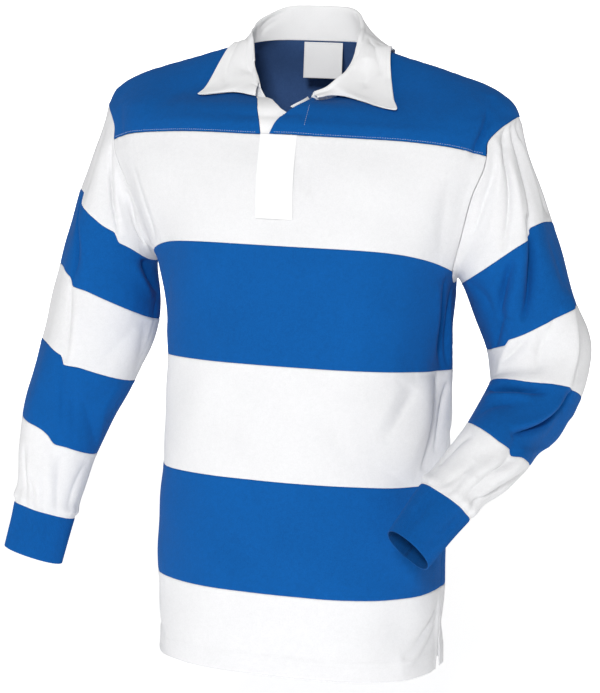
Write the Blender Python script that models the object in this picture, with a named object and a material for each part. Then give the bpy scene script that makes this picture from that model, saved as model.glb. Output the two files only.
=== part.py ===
"""Long-sleeved rugby shirt with sewn hoops, filled out as if worn, with no wearer inside.

Units are metres, +Z is up, the chest faces -Y and the wearer's left is +X. The origin lies between the two
high points of the shoulders, where a wearer's shoulders carry the shirt. Each cut piece of cloth is its own
closed wall. The body is a stack of sections, the sleeves run through rings, and the collar stands on the
neckline.
"""

import math

import bpy
import numpy as np

# ---------------------------------------------------------------- driving dimensions
CLOTH = 0.0016  # heavy cotton jersey
TWILL = 0.0018  # collar, two layers
STRIP = 0.0012  # plackets, facing and neck label
SEAM_GAP = 0.0004  # between two pieces at a seam
LIE_ON = 0.0005  # between a strip and the panel that it lies on
LEAN = 0.030  # how much lower each metre towards the wearer's left hangs
QUARTER_ROUND = 0.25  # a quarter of the way round the body, in metres, for placing folds
HALF_COLUMNS = 11  # across half of a front or back panel
COLUMN_CROWD = 0.5  # how much the columns crowd towards a panel's side edges, from 0 to 1
EDGE_ROWS = 13  # along a front or back armhole edge, which gives the sleeve its columns
SHOULDER_CROWD = 1.7  # how much the rows of the yoke crowd up to the shoulder point, where 1 is not at all
NUDGE = 1e-3  # step for measuring the slope of the body's surface
CURVE_SAMPLES = 240  # along a quarter of a section, for stepping evenly along it
LENGTH_SAMPLES = 60  # the same, for its length
HALVINGS = 24  # when looking for the section that passes a place
FOLD_FADE = 0.7  # how slowly a fold fades in and out along its length, where 1 is a plain sine
SHARP_ANGLE = 50  # degrees past which an edge is shaded sharp

BLUE = (0.011, 0.105, 0.402, 1.0)
WHITE = (0.83, 0.83, 0.84, 1.0)

# ---------------------------------------------------------------- body
# One row for each horizontal section, hem first. side_z is the height at the side, the rises lift the
# centre front and centre back, and squareness is the exponent of the superellipse.
BODY_COLUMNS = (
    "side_z", "front_rise", "back_rise", "half_width", "front", "back", "squareness", "middle_x",
)
BODY_SECTIONS = {
    "hem": (-0.717, -0.002, -0.004, 0.168, 0.128, 0.124, 2.5, 0.000),
    "hem_seam": (-0.621, -0.004, -0.002, 0.170, 0.129, 0.124, 2.5, 0.000),
    "hip_seam": (-0.496, 0.000, 0.000, 0.170, 0.130, 0.122, 2.5, 0.003),
    "waist_seam": (-0.366, 0.001, 0.002, 0.168, 0.130, 0.118, 2.5, 0.006),
    "underarm": (-0.266, 0.020, 0.014, 0.175, 0.132, 0.118, 2.5, 0.003),
    "chest_seam": (-0.254, 0.024, 0.016, 0.181, 0.132, 0.118, 2.5, 0.002),
    "armhole": (-0.186, 0.026, 0.020, 0.216, 0.128, 0.120, 2.4, 0.000),
    "yoke_seam": (-0.130, 0.025, 0.020, 0.247, 0.116, 0.114, 2.2, 0.000),
    "shoulder_point": (-0.072, -0.012, 0.006, 0.249, 0.104, 0.102, 2.1, 0.000),
    "shoulder_round": (-0.047, -0.028, 0.004, 0.229, 0.098, 0.094, 2.05, 0.000),
    "shoulder_slope": (-0.027, -0.042, 0.004, 0.180, 0.090, 0.084, 2.0, 0.000),
    "neck_slope": (-0.010, -0.055, 0.006, 0.120, 0.080, 0.072, 2.1, 0.000),
    "neck": (0.003, -0.066, 0.008, 0.075, 0.072, 0.062, 2.4, -0.003),
}
SECTION_NAMES = list(BODY_SECTIONS)
# How many rows of points there are between one section and the next one.
BODY_ROWS = (3, 4, 4, 4, 1, 3, 4, EDGE_ROWS - 8, 2, 2, 2, 2)
# How far the armhole edges stand in from the side, at shares of the way from underarm to shoulder point,
# where 1 is a quarter of the way round.
ARMHOLE_COLUMNS = ("share", "front_inset", "back_inset")
ARMHOLE = (
    (0.00, 0.000, 0.000),
    (0.03, 0.070, 0.080),
    (0.10, 0.115, 0.130),
    (0.30, 0.168, 0.200),
    (0.55, 0.205, 0.250),
    (0.80, 0.195, 0.240),
    (0.92, 0.138, 0.160),
    (0.98, 0.068, 0.080),
    (1.00, 0.000, 0.000),
)
# How far each panel's side edge stands in from the side at the hem, for the side vents.
VENT_COLUMNS = ("z", "inset")
VENT = ((-0.714, 0.034), (-0.690, 0.018), (-0.662, 0.004), (-0.650, 0.000))
# Hoops of the front and back: node name, the sections that they run between, colour.
BODY_HOOPS = (
    ("yoke", "yoke_seam", "neck", "blue"),
    ("chest", "chest_seam", "yoke_seam", "white"),
    ("hoop_2", "waist_seam", "chest_seam", "blue"),
    ("hoop_3", "hip_seam", "waist_seam", "white"),
    ("hoop_4", "hem_seam", "hip_seam", "blue"),
    ("hem_hoop", "hem", "hem_seam", "white"),
)
# Folds of the body. turn is 0 at centre front, 1 and -1 at the sides, 2 at centre back.
BODY_FOLD_COLUMNS = ("start_turn", "start_z", "end_turn", "end_z", "depth", "half_width")
BODY_FOLDS = (
    (0.88, -0.275, 0.84, -0.430, -0.0060, 0.016),
    (0.72, -0.290, 0.66, -0.400, -0.0035, 0.018),
    (0.98, -0.300, 0.97, -0.470, 0.0050, 0.016),
    (0.40, -0.430, 0.74, -0.380, -0.0030, 0.016),
    (0.55, -0.520, 0.90, -0.470, -0.0028, 0.018),
    (0.50, -0.690, 0.84, -0.630, -0.0035, 0.014),
    (0.62, -0.712, 0.92, -0.655, 0.0025, 0.014),
    (-0.90, -0.280, -0.80, -0.400, -0.0050, 0.017),
    (-0.70, -0.190, -0.50, -0.260, -0.0030, 0.018),
    (0.66, -0.170, 0.52, -0.260, -0.0026, 0.020),
    (-0.94, -0.420, -0.70, -0.520, -0.0034, 0.018),
    (-0.86, -0.600, -0.62, -0.690, -0.0030, 0.018),
    (1.22, -0.290, 1.34, -0.440, -0.0055, 0.018),
    (1.50, -0.250, 1.62, -0.420, -0.0040, 0.022),
    (-1.24, -0.285, -1.30, -0.430, -0.0055, 0.018),
    (-1.52, -0.240, -1.66, -0.400, -0.0038, 0.022),
    (1.15, -0.470, 1.50, -0.530, -0.0032, 0.020),
    (-1.12, -0.500, -1.46, -0.560, -0.0032, 0.020),
    (1.90, -0.200, 1.98, -0.420, -0.0030, 0.024),
    (-1.30, -0.640, -1.12, -0.712, -0.0030, 0.018),
)

# ---------------------------------------------------------------- front opening, plackets and label
# across is measured along the cloth from centre front, towards the wearer's left. The flap is the edge of the
# wearer's left half, and the strip under it is sewn to the edge of the right half.
PLACKET_RIGHT = -0.0225
PLACKET_LEFT = 0.0215
PLACKET_BOTTOM = -0.200
OPENING_COLUMNS = ("share", "right_half_edge", "flap_edge", "strip_edge")
OPENING = (
    (0.00, -0.0225, -0.0115, 0.0150),
    (0.08, -0.0260, -0.0050, 0.0140),
    (0.25, -0.0305, 0.0037, 0.0080),
    (0.34, -0.0320, 0.0085, -0.0010),
    (0.50, -0.0340, 0.0165, -0.0085),
    (0.66, -0.0370, 0.0220, -0.0155),
    (0.87, -0.0415, 0.0245, -0.0225),
    (1.00, -0.0440, 0.0255, -0.0265),
)
FACING_SHOWS = 0.0042  # of the facing, past the flap's edge
FACING_UNDER = 0.0100
FACING_ROLL = 0.0040  # how far the facing's free edge rolls outwards
FACING_GAP = 0.0010  # between the facing and the flap over it
FLAP_COLUMNS = (0.000, 0.035, 0.075)  # places across the flap, before the panel's own columns
STRIP_COLUMNS = 5
PLACKET_ROWS = 7
FLAP_RAISE = STRIP + 2 * LIE_ON
FLAP_FALLS = (PLACKET_LEFT - 0.004, PLACKET_LEFT + 0.016)  # where the flap comes down past the strip
LABEL_HALF_WIDTH = 0.0245
LABEL_DROP = 0.043
LABEL_MIDDLE = 0.001
LABEL_ROWS = 4
LABEL_BELOW = 0.04  # of its top edge under the neck seam, as a share of the topmost two sections' distance
LABEL_LEAN = 0.003  # how far its lower edge hangs forward

# ---------------------------------------------------------------- collar
# From the wearer's right front end round the back to the left front end. turn goes round the neckline, ridge
# is the plan place of the fold, stand is its height over the neck seam, edge is the plan place of the leaf's
# edge, which rests on the yoke, and stations is how many of them lead to a row from the row before.
COLLAR_COLUMNS = ("turn", "ridge_x", "ridge_y", "stand", "edge_x", "edge_y", "stations")
COLLAR = (
    (-0.235, -0.042, -0.067, 0.018, -0.041, -0.079, 1),
    (-0.30, -0.045, -0.063, 0.020, -0.074, -0.068, 1),
    (-0.36, -0.047, -0.059, 0.022, -0.113, -0.072, 1),
    (-0.45, -0.051, -0.052, 0.024, -0.105, -0.044, 2),
    (-0.60, -0.058, -0.038, 0.022, -0.096, -0.014, 2),
    (-0.75, -0.065, -0.022, 0.018, -0.092, 0.006, 2),
    (-1.00, -0.074, 0.004, 0.017, -0.093, 0.026, 2),
    (-1.20, -0.075, 0.022, 0.024, -0.092, 0.046, 2),
    (-1.40, -0.066, 0.041, 0.032, -0.081, 0.062, 2),
    (-1.70, -0.042, 0.062, 0.042, -0.046, 0.077, 3),
    (-2.00, -0.008, 0.068, 0.043, 0.000, 0.080, 3),
    (-2.30, 0.028, 0.060, 0.041, 0.048, 0.077, 3),
    (-2.60, 0.048, 0.041, 0.033, 0.084, 0.056, 3),
    (-3.00, 0.060, 0.006, 0.020, 0.095, 0.018, 3),
    (-3.25, 0.062, -0.018, 0.021, 0.098, -0.006, 2),
    (-3.45, 0.058, -0.040, 0.026, 0.110, -0.042, 2),
    (-3.58, 0.050, -0.054, 0.025, 0.126, -0.083, 2),
    (-3.63, 0.046, -0.059, 0.022, 0.100, -0.082, 1),
    (-3.69, 0.039, -0.065, 0.016, 0.057, -0.067, 1),
    (-3.79, 0.026, -0.072, 0.009, 0.033, -0.080, 1),
)
STAND_ROWS = 3
LEAF_ROWS = 5
FOLD_RADIUS = 0.0032
FOLD_ANGLES = (135, 90, 45)  # of the points over the fold, in degrees from straight out
LEAF_CLEAR = 0.0022  # between the leaf and the yoke
LEAF_BULGE = 0.010
LEAF_DROP = 0.4  # share of the leaf's fall that it takes near the fold

# ---------------------------------------------------------------- sleeves
# Rings from shoulder to hand. Outer and inner are the ring's two ends as worn, depth is its size from front
# to back, and rows is how many rows of points lead to it from the ring before.
RING_COLUMNS = (
    "outer_x", "outer_y", "outer_z", "inner_x", "inner_y", "inner_z", "depth", "front_drop", "rows",
)
SLEEVE_RINGS = {
    "right": {
        "seam_1": (-0.287, -0.012, -0.181, -0.196, 0.022, -0.254, 0.124, 0.006, 5),
        "seam_2": (-0.310, -0.022, -0.272, -0.189, 0.014, -0.326, 0.116, 0.006, 4),
        "seam_3": (-0.328, -0.034, -0.363, -0.215, 0.000, -0.401, 0.104, 0.005, 4),
        "seam_4": (-0.346, -0.046, -0.454, -0.256, -0.016, -0.490, 0.092, 0.006, 4),
        "cuff_seam": (-0.347, -0.056, -0.548, -0.277, -0.036, -0.568, 0.058, 0.003, 5),
        "cuff_end": (-0.357, -0.062, -0.602, -0.290, -0.044, -0.623, 0.052, 0.002, 3),
    },
    "left": {
        "seam_1": (0.289, 0.020, -0.198, 0.186, 0.004, -0.271, 0.126, 0.000, 5),
        "seam_2": (0.317, 0.030, -0.291, 0.218, 0.000, -0.347, 0.120, 0.002, 4),
        "elbow": (0.334, 0.034, -0.345, 0.222, -0.004, -0.375, 0.114, 0.010, 2),
        "seam_3": (0.328, 0.014, -0.398, 0.226, -0.016, -0.384, 0.110, 0.024, 2),
        "seam_4": (0.288, -0.066, -0.471, 0.213, -0.070, -0.425, 0.096, 0.026, 5),
        "cuff_seam": (0.233, -0.134, -0.524, 0.176, -0.134, -0.489, 0.062, 0.007, 5),
        "cuff_end": (0.196, -0.172, -0.574, 0.150, -0.172, -0.538, 0.056, 0.000, 3),
    },
}
# A lengthwise crease laps the cloth, so the hoop seams step up the sleeve between two turns of a ring.
CREASE_COLUMNS = ("ring", "start_turn", "end_turn", "step_up")
CREASES = {
    "right": (
        ("seam_1", 34, -75, 0.010),
        ("seam_2", 48, -75, 0.012),
        ("seam_3", 64, -75, 0.012),
        ("seam_4", 84, -60, 0.010),
    ),
    "left": (
        ("seam_1", 62, 0, 0.006),
        ("seam_1", -10, -90, -0.008),
        ("seam_2", -10, -100, -0.011),
    ),
}
RING_SQUARENESS = 2.2
CREASE_RAMP = 15  # degrees over which a crease steps
SLEEVE_RADIUS = 0.055  # for placing folds round a sleeve
SLEEVE_LIFT = 0.3  # how steeply a sleeve leaves the body's own surface at the armhole
SLEEVE_AIM = 0.3  # how much it already heads for the first ring there
FOLDS_START = 0.03  # sleeve folds fade in over this distance from the armhole
SLEEVE_HOOPS = (
    ("sleeve_1", "armhole", "seam_1", "white"),
    ("sleeve_2", "seam_1", "seam_2", "blue"),
    ("sleeve_3", "seam_2", "seam_3", "white"),
    ("sleeve_4", "seam_3", "seam_4", "blue"),
    ("sleeve_5", "seam_4", "cuff_seam", "white"),
    ("cuff", "cuff_seam", "cuff_end", "blue"),
)
# Folds of the sleeves. along is metres from the armhole down the middle line. turn is degrees round the
# sleeve from its outer edge, positive to the front, 180 under the arm.
SLEEVE_FOLD_COLUMNS = ("start_along", "start_turn", "end_along", "end_turn", "depth", "half_width")
SLEEVE_FOLDS = {
    "right": (
        (0.02, 18, 0.38, 22, -0.0060, 0.010),
        (0.05, 120, 0.16, 60, -0.0040, 0.014),
        (0.14, 150, 0.24, 90, -0.0050, 0.014),
        (0.24, 160, 0.32, 80, -0.0045, 0.014),
        (0.30, 60, 0.42, 130, -0.0040, 0.013),
        (0.40, 40, 0.47, 70, -0.0030, 0.011),
        (0.41, 100, 0.48, 110, -0.0030, 0.011),
        (0.10, -60, 0.22, -120, -0.0050, 0.016),
        (0.24, -60, 0.34, -140, -0.0050, 0.016),
        (0.38, -70, 0.47, -80, -0.0035, 0.012),
    ),
    "left": (
        (0.02, 30, 0.14, 44, -0.0050, 0.011),
        (0.02, 12, 0.16, 24, -0.0065, 0.011),
        (0.16, 24, 0.26, 60, -0.0060, 0.012),
        (0.30, 30, 0.40, 120, -0.0075, 0.013),
        (0.34, -10, 0.42, 60, -0.0060, 0.012),
        (0.27, 150, 0.31, 60, -0.0060, 0.013),
        (0.32, -160, 0.33, 110, -0.0070, 0.013),
        (0.42, 20, 0.50, 60, -0.0040, 0.011),
        (0.43, 100, 0.51, 120, -0.0036, 0.011),
        (0.10, -60, 0.24, -110, -0.0050, 0.016),
        (0.30, -60, 0.36, -150, -0.0055, 0.015),
        (0.44, -70, 0.52, -80, -0.0035, 0.012),
    ),
}


# ---------------------------------------------------------------- curves and surfaces
def smooth(stations, values, at):
    """Monotone cubic through the values, so that a table's rows never overshoot."""
    stations, values = np.asarray(stations, float), np.asarray(values, float)
    step = np.diff(stations)
    slope = np.diff(values, axis=0) / step.reshape((-1,) + (1,) * (values.ndim - 1))
    first, second = slope[:-1], slope[1:]
    same = first * second > 0
    middle = np.where(same, 2 * first * second / np.where(same, first + second, 1), 0)
    tangent = np.concatenate([slope[:1], middle, slope[-1:]])
    at = np.clip(np.asarray(at, float), stations[0], stations[-1])
    i = np.clip(np.searchsorted(stations, at, side="right") - 1, 0, len(step) - 1)
    shape = np.shape(at) + (1,) * (values.ndim - 1)
    width = step[i].reshape(shape)
    s = ((at - stations[i]) / step[i]).reshape(shape)
    return (
        (1 + 2 * s) * (1 - s) ** 2 * values[i]
        + s * (1 - s) ** 2 * width * tangent[i]
        + s * s * (3 - 2 * s) * values[i + 1]
        + s * s * (s - 1) * width * tangent[i + 1]
    )


def flowing(stations, values, at, first_tangent=None):
    """Cubic through the values with tangents taken across each one, for routes that turn."""
    stations, values = np.asarray(stations, float), np.asarray(values, float)
    tangent = np.gradient(values, stations, axis=0)
    if first_tangent is not None:
        tangent[0] = first_tangent
    at = np.clip(np.asarray(at, float), stations[0], stations[-1])
    i = np.clip(np.searchsorted(stations, at, side="right") - 1, 0, len(stations) - 2)
    shape = np.shape(at) + (1,) * (values.ndim - 1)
    width = (stations[i + 1] - stations[i]).reshape(shape)
    s = ((at - stations[i]) / (stations[i + 1] - stations[i])).reshape(shape)
    return (
        (1 + 2 * s) * (1 - s) ** 2 * values[i]
        + s * (1 - s) ** 2 * width * tangent[i]
        + s * s * (3 - 2 * s) * values[i + 1]
        + s * s * (s - 1) * width * tangent[i + 1]
    )


def unit(vectors):
    return vectors / np.linalg.norm(vectors, axis=-1, keepdims=True)


def ease(share):
    share = np.clip(share, 0, 1)
    return share * share * (3 - 2 * share)


def fold_height(across, along, folds):
    """Height of the cloth over its plain form, from troughs and ridges that fade out at both ends."""
    height = np.zeros(np.broadcast(across, along).shape)
    for start_across, start_along, end_across, end_along, depth, half_width in folds:
        run_across, run_along = end_across - start_across, end_along - start_along
        share = (across - start_across) * run_across + (along - start_along) * run_along
        share = np.clip(share / (run_across**2 + run_along**2), 0, 1)
        off = np.hypot(across - start_across - share * run_across, along - start_along - share * run_along)
        height += depth * np.sin(math.pi * share) ** FOLD_FADE * np.exp(-((off / half_width) ** 2))
    return height


def quarter(width, depth, squareness, share):
    """A quarter of a superellipse by share of its length, from the middle of the front to the side."""
    angle = np.linspace(0, math.pi / 2, CURVE_SAMPLES)
    across = width * np.sin(angle) ** (2 / squareness)
    out = depth * np.cos(angle) ** (2 / squareness)
    run = np.concatenate([[0], np.cumsum(np.hypot(np.diff(across), np.diff(out)))])
    return np.interp(share, run / run[-1], across), np.interp(share, run / run[-1], out)


def section(level):
    return smooth(range(len(BODY_SECTIONS)), np.array(list(BODY_SECTIONS.values())), level)


def body_plain(turn, level):
    """Points of the unfolded body. turn is 0 at centre front, 1 at the wearer's left side, 2 at centre back."""
    turn, level = np.broadcast_arrays(np.asarray(turn, float), np.asarray(level, float))
    turn = (turn + 2) % 4 - 2
    points = np.empty(turn.shape + (3,))
    for one in np.unique(level):
        here = level == one
        side_z, front_rise, back_rise, width, front, back, squareness, middle_x = section(one)
        t = turn[here]
        is_front = abs(t) <= 1
        share = np.where(is_front, abs(t), 2 - abs(t))
        x_front, y_front = quarter(width, front, squareness, share)
        x_back, y_back = quarter(width, back, squareness, share)
        out = np.where(is_front, y_front / front, y_back / back)
        points[here, 0] = middle_x + np.sign(t) * np.where(is_front, x_front, x_back)
        points[here, 1] = np.where(is_front, -y_front, y_back)
        points[here, 2] = side_z + np.where(is_front, front_rise, back_rise) * ease(out)
    points[..., 2] -= LEAN * points[..., 0]
    return points


def slopes(surface, turn, level):
    """The two directions along a surface, the way it turns and the way it rises, and its outward normal."""
    top = len(BODY_SECTIONS) - 1
    level = np.clip(level, NUDGE, top - NUDGE)
    around = unit(surface(turn + NUDGE, level) - surface(turn - NUDGE, level))
    up = unit(surface(turn, level + NUDGE) - surface(turn, level - NUDGE))
    return around, up, unit(np.cross(around, up))


def body_surface(turn, level):
    """The body with its folds."""
    points = body_plain(turn, level)
    normal = slopes(body_plain, turn, level)[2]
    wrapped = (np.asarray(turn) + 2) % 4 - 2
    folds = [
        (a * QUARTER_ROUND, b, c * QUARTER_ROUND, d, depth, width)
        for a, b, c, d, depth, width in BODY_FOLDS
    ]
    height = fold_height(wrapped * QUARTER_ROUND, points[..., 2], folds)
    return points + normal * height[..., None]


def level_of(name):
    return SECTION_NAMES.index(name)


def body_levels(low, high):
    """Levels of the rows of points from one named section to another."""
    levels = [float(level_of(low))]
    for i in range(level_of(low), level_of(high)):
        share = np.arange(1, BODY_ROWS[i] + 1) / BODY_ROWS[i]
        if i == level_of("yoke_seam"):
            share = 1 - (1 - share) ** SHOULDER_CROWD
        levels += list(i + share)
    return np.array(levels)


def panel_columns():
    """Places across a panel from one side edge at -1 to the other at 1."""
    share = np.linspace(-1, 1, 2 * HALF_COLUMNS + 1)[None, :]
    return (1 - COLUMN_CROWD) * share + COLUMN_CROWD * np.sin(share * math.pi / 2)


def level_at_z(turn, z):
    """The level at which one upright line of the body passes a height."""
    levels = np.linspace(0, level_of("shoulder_point"), CURVE_SAMPLES)
    return float(np.interp(z, body_plain(turn, levels)[:, 2], levels))


def quarter_length(level, depth_column):
    """Length of a quarter of a section along the cloth, with its front depth (column 4) or back depth (5)."""
    level = np.asarray(level, float)
    length = np.empty(level.shape)
    for index, one in np.ndenumerate(level):
        x, y = quarter(*section(one)[[3, depth_column, 6]], np.linspace(0, 1, LENGTH_SAMPLES))
        length[index] = np.hypot(np.diff(x), np.diff(y)).sum()
    return length


def side_inset(level, column):
    """How far a panel's side edge stands in from the side, at the vent and along the armhole."""
    side = body_plain(1.0, level)[..., 2] + LEAN * body_plain(1.0, level)[..., 0]
    low, high = BODY_SECTIONS["underarm"][0], BODY_SECTIONS["shoulder_point"][0]
    armhole = np.array(ARMHOLE)
    vent = np.array(VENT)
    inset = smooth(armhole[:, 0], armhole[:, column], (side - low) / (high - low))
    inset = np.where((side <= low) | (side >= high), 0, inset)
    return inset + np.where(side < vent[-1, 0], smooth(vent[:, 0], vent[:, 1], side), 0)


def roof(x, y):
    """Height of the yoke's top at a place in plan."""
    low, high = float(level_of("yoke_seam")), float(len(BODY_SECTIONS) - 1)
    for _ in range(HALVINGS):
        middle = (low + high) / 2
        _, _, _, width, front, back, squareness, middle_x = section(middle)
        depth = front if y < 0 else back
        inside = (abs(x - middle_x) / width) ** squareness + (abs(y) / depth) ** squareness < 1
        low, high = (middle, high) if inside else (low, middle)
    side_z, front_rise, back_rise, _, front, back, _, _ = section(low)
    out = -y / front if y < 0 else y / back
    return side_z + (front_rise if y < 0 else back_rise) * ease(out) - LEAN * x


def roof_normal(x, y):
    slope_x = (roof(x + NUDGE, y) - roof(x - NUDGE, y)) / (2 * NUDGE)
    slope_y = (roof(x, y + NUDGE) - roof(x, y - NUDGE)) / (2 * NUDGE)
    return unit(np.array([-slope_x, -slope_y, 1.0]))


# ---------------------------------------------------------------- walls
def wall(name, outer, normal, thickness, colour, ring=False):
    """A closed wall of cloth. outer is a grid of points seen from outside with its columns running to the
    viewer's right as its rows rise, and ring joins the last column to the first."""
    rows, columns = outer.shape[:2]
    inner = outer - normal * thickness
    points = np.concatenate([outer.reshape(-1, 3), inner.reshape(-1, 3)])
    count = rows * columns
    faces = []

    def quad(a, b, c, d):
        if np.linalg.norm(points[a] - points[c]) > np.linalg.norm(points[b] - points[d]):
            a, b, c, d = b, c, d, a
        faces.append((a, b, c))
        faces.append((a, c, d))

    across = columns if ring else columns - 1
    for i in range(rows - 1):
        for j in range(across):
            a, b = i * columns + j, i * columns + (j + 1) % columns
            c, d = b + columns, a + columns
            quad(a, b, c, d)
            faces.extend(tuple(i + count for i in reversed(face)) for face in faces[-2:])
    for j in range(across):
        a, b = j, (j + 1) % columns
        quad(a + count, b + count, b, a)
        a, b = a + (rows - 1) * columns, b + (rows - 1) * columns
        quad(a, b, b + count, a + count)
    if not ring:
        for i in range(rows - 1):
            a, b = i * columns, (i + 1) * columns
            quad(a, b, b + count, a + count)
            a, b = a + columns - 1, b + columns - 1
            quad(b, a, a + count, b + count)
    mesh = bpy.data.meshes.new(name)
    mesh.from_pydata(points.tolist(), [], faces)
    mesh.update()
    mesh.shade_smooth()
    mesh.set_sharp_from_angle(angle=math.radians(SHARP_ANGLE))
    mesh.materials.append(cloth_material(name, colour))
    item = bpy.data.objects.new(name, mesh)
    bpy.context.scene.collection.objects.link(item)
    return item


def cloth_material(name, colour):
    """Matt cotton in one of the shirt's two colours."""
    material = bpy.data.materials.new(name + "_cloth")
    material.use_nodes = True
    shader = material.node_tree.nodes["Principled BSDF"]
    shader.inputs["Base Color"].default_value = BLUE if colour == "blue" else WHITE
    shader.inputs["Roughness"].default_value = 0.9
    shader.inputs["Metallic"].default_value = 0.0
    return material


def body_grid(turn, level, raised=0.0):
    """Points and normals of the folded body, moved out by a height."""
    normal = slopes(body_surface, turn, level)[2]
    return body_surface(turn, level) + normal * np.asarray(raised)[..., None], normal


def open_seams(points, ring=False):
    """Moves a grid's edges in by half a seam gap, each towards its next row or column."""
    moved = points.copy()
    half = SEAM_GAP / 2
    moved[0] += unit(points[1] - points[0]) * half
    moved[-1] += unit(points[-2] - points[-1]) * half
    if not ring:
        moved[:, 0] += unit(points[:, 1] - points[:, 0]) * half
        moved[:, -1] += unit(points[:, -2] - points[:, -1]) * half
    return moved


# ---------------------------------------------------------------- body pieces
def armhole_rims():
    """For the front and the back, a table from level to the wall directions at a panel's two side edges."""
    levels = body_levels("underarm", "shoulder_point")
    left, right = sleeve_grid("left")[3], sleeve_grid("right")[3]
    last = len(levels) - 1
    front = {round(level, 6): (right[i], left[i]) for i, level in enumerate(levels)}
    back = {round(level, 6): (left[-i % len(left)], right[-i % len(left)]) for i, level in enumerate(levels)}
    back[round(levels[last], 6)] = (left[last], right[last])
    return front, back


def set_rims(normal, levels, rims):
    for i, level in enumerate(levels[:, 0]):
        if round(level, 6) in rims:
            normal[i, 0], normal[i, -1] = rims[round(level, 6)]


def make_body():
    front_rims, back_rims = armhole_rims()
    for name, low, high, colour in BODY_HOOPS:
        levels = body_levels(low, high)[:, None]
        spread = panel_columns()
        back_turn = 2 + spread * (1 - side_inset(levels, 2))
        points, normal = body_grid(back_turn, levels + 0 * spread)
        set_rims(normal, levels, back_rims)
        wall("back_" + name, open_seams(points), normal, CLOTH, colour)
        if name == "yoke":
            make_yoke_front(levels, colour, front_rims)
            continue
        points, normal = body_grid(spread * (1 - side_inset(levels, 1)), levels + 0 * spread)
        set_rims(normal, levels, front_rims)
        wall("front_" + name, open_seams(points), normal, CLOTH, colour)


def make_yoke_front(levels, colour, rims):
    """The two halves of the front yoke, with the flap of the wearer's left half over the opening."""
    side = 1 - side_inset(levels, 1)
    inner = opening_edge(levels, 1)
    spread = 1 + panel_columns()[:, :HALF_COLUMNS + 1]
    points, normal = body_grid(-side + spread * (side + inner), levels + 0 * spread)
    inner_normal = normal[:, -1].copy()
    set_rims(normal, levels, rims)
    normal[:, -1] = inner_normal
    wall("front_yoke_right", open_seams(points), normal, CLOTH, colour)

    edge = opening_edge(levels, 2)
    spread = np.concatenate([FLAP_COLUMNS, panel_columns()[0, HALF_COLUMNS + 1:]])[None, :]
    turn = edge + spread * (side - edge)
    points, normal = body_grid(turn, levels + 0 * spread, flap_raise(turn * quarter_length(levels, 4)))
    inner_normal = normal[:, 0].copy()
    set_rims(normal, levels, rims)
    normal[:, 0] = inner_normal
    wall("front_yoke_left", open_seams(points), normal, CLOTH, colour)


def opening_edge(level, column):
    """Turn of the right half's edge (column 1), the flap's edge (2) or the under strip's free edge (3)."""
    table = np.array(OPENING)
    low, high = level_of("yoke_seam"), level_of("neck")
    across = smooth(table[:, 0], table[:, column], (level - low) / (high - low))
    return across / quarter_length(level, 4)


def flap_raise(across):
    """The flap rides over the strip beneath it and comes down to the yoke's own surface past the strip."""
    start, end = FLAP_FALLS
    return FLAP_RAISE * (1 - ease((across - start) / (end - start)))


def make_opening():
    """Under strip, facing and over placket."""
    levels = body_levels("yoke_seam", "neck")[:, None]
    left, right = opening_edge(levels, 1), opening_edge(levels, 3)
    spread = np.linspace(0, 1, STRIP_COLUMNS)[None, :]
    points, normal = body_grid(left + spread * (right - left), levels + 0 * spread)
    wall("placket_under", open_seams(points), normal, STRIP, "white")

    levels = body_levels("shoulder_round", "neck")[:, None]
    edge = opening_edge(levels, 2)
    across = np.array([-FACING_SHOWS, -FACING_SHOWS / 2, 0, FACING_UNDER])[None, :]
    turn = edge + across / quarter_length(levels, 4)
    roll = FACING_ROLL * np.clip(-across / FACING_SHOWS, 0, 1)
    raised = flap_raise(turn * quarter_length(levels, 4)) - CLOTH - FACING_GAP + roll
    points, normal = body_grid(turn, levels + 0 * across, raised)
    wall("placket_facing", open_seams(points), normal, STRIP, "white")

    levels = np.linspace(level_at_z(0.0, PLACKET_BOTTOM), level_of("yoke_seam"), PLACKET_ROWS)[:, None]
    across = np.linspace(PLACKET_RIGHT, PLACKET_LEFT, STRIP_COLUMNS)[None, :]
    turn = across / quarter_length(levels, 4)
    points, normal = body_grid(turn, levels + 0 * across, 0 * turn + LIE_ON + STRIP)
    wall("placket_over", open_seams(points), normal, STRIP, "white")


def make_label():
    """A blank label sewn in at centre back under the neck seam, hanging free."""
    level = level_of("neck") - LABEL_BELOW
    across = np.linspace(LABEL_HALF_WIDTH, -LABEL_HALF_WIDTH, STRIP_COLUMNS) + LABEL_MIDDLE
    turn = 2 - across / quarter_length(level, 5)
    normal = slopes(body_surface, turn, level)[2]
    top = body_surface(turn, level) - normal * (CLOTH + LIE_ON + STRIP)
    share = np.linspace(1, 0, LABEL_ROWS)[:, None, None]
    points = top[None] - share * np.array([0, LABEL_LEAN, LABEL_DROP])
    out = unit(np.array([0, -LABEL_DROP, LABEL_LEAN]))
    wall("neck_label", points[:, ::-1], np.broadcast_to(out, points.shape), STRIP, "white")


# ---------------------------------------------------------------- collar
def make_collar():
    """One folded sheet: up the stand from the neck seam, over the fold and down the leaf to its edge."""
    table = np.array(COLLAR)
    turns, counts = table[:, 0], table[1:, 6].astype(int)
    steps = [np.linspace(a, b, n, endpoint=False) for a, b, n in zip(turns, turns[1:], counts)]
    grid, seam_normal = [], []
    for turn in np.concatenate([*steps, turns[-1:]]):
        column, normal = collar_column(turn, smooth(-table[:, 0], table[:, 1:6], -turn))
        grid.append(column)
        seam_normal.append(-normal)
    points = np.array(grid).transpose(1, 0, 2)
    down, along = np.gradient(points, axis=0), np.gradient(points, axis=1)
    normal = unit(np.cross(along, down))
    normal[0] = np.array(seam_normal)
    wall("collar", points, normal, TWILL, "white")


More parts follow.
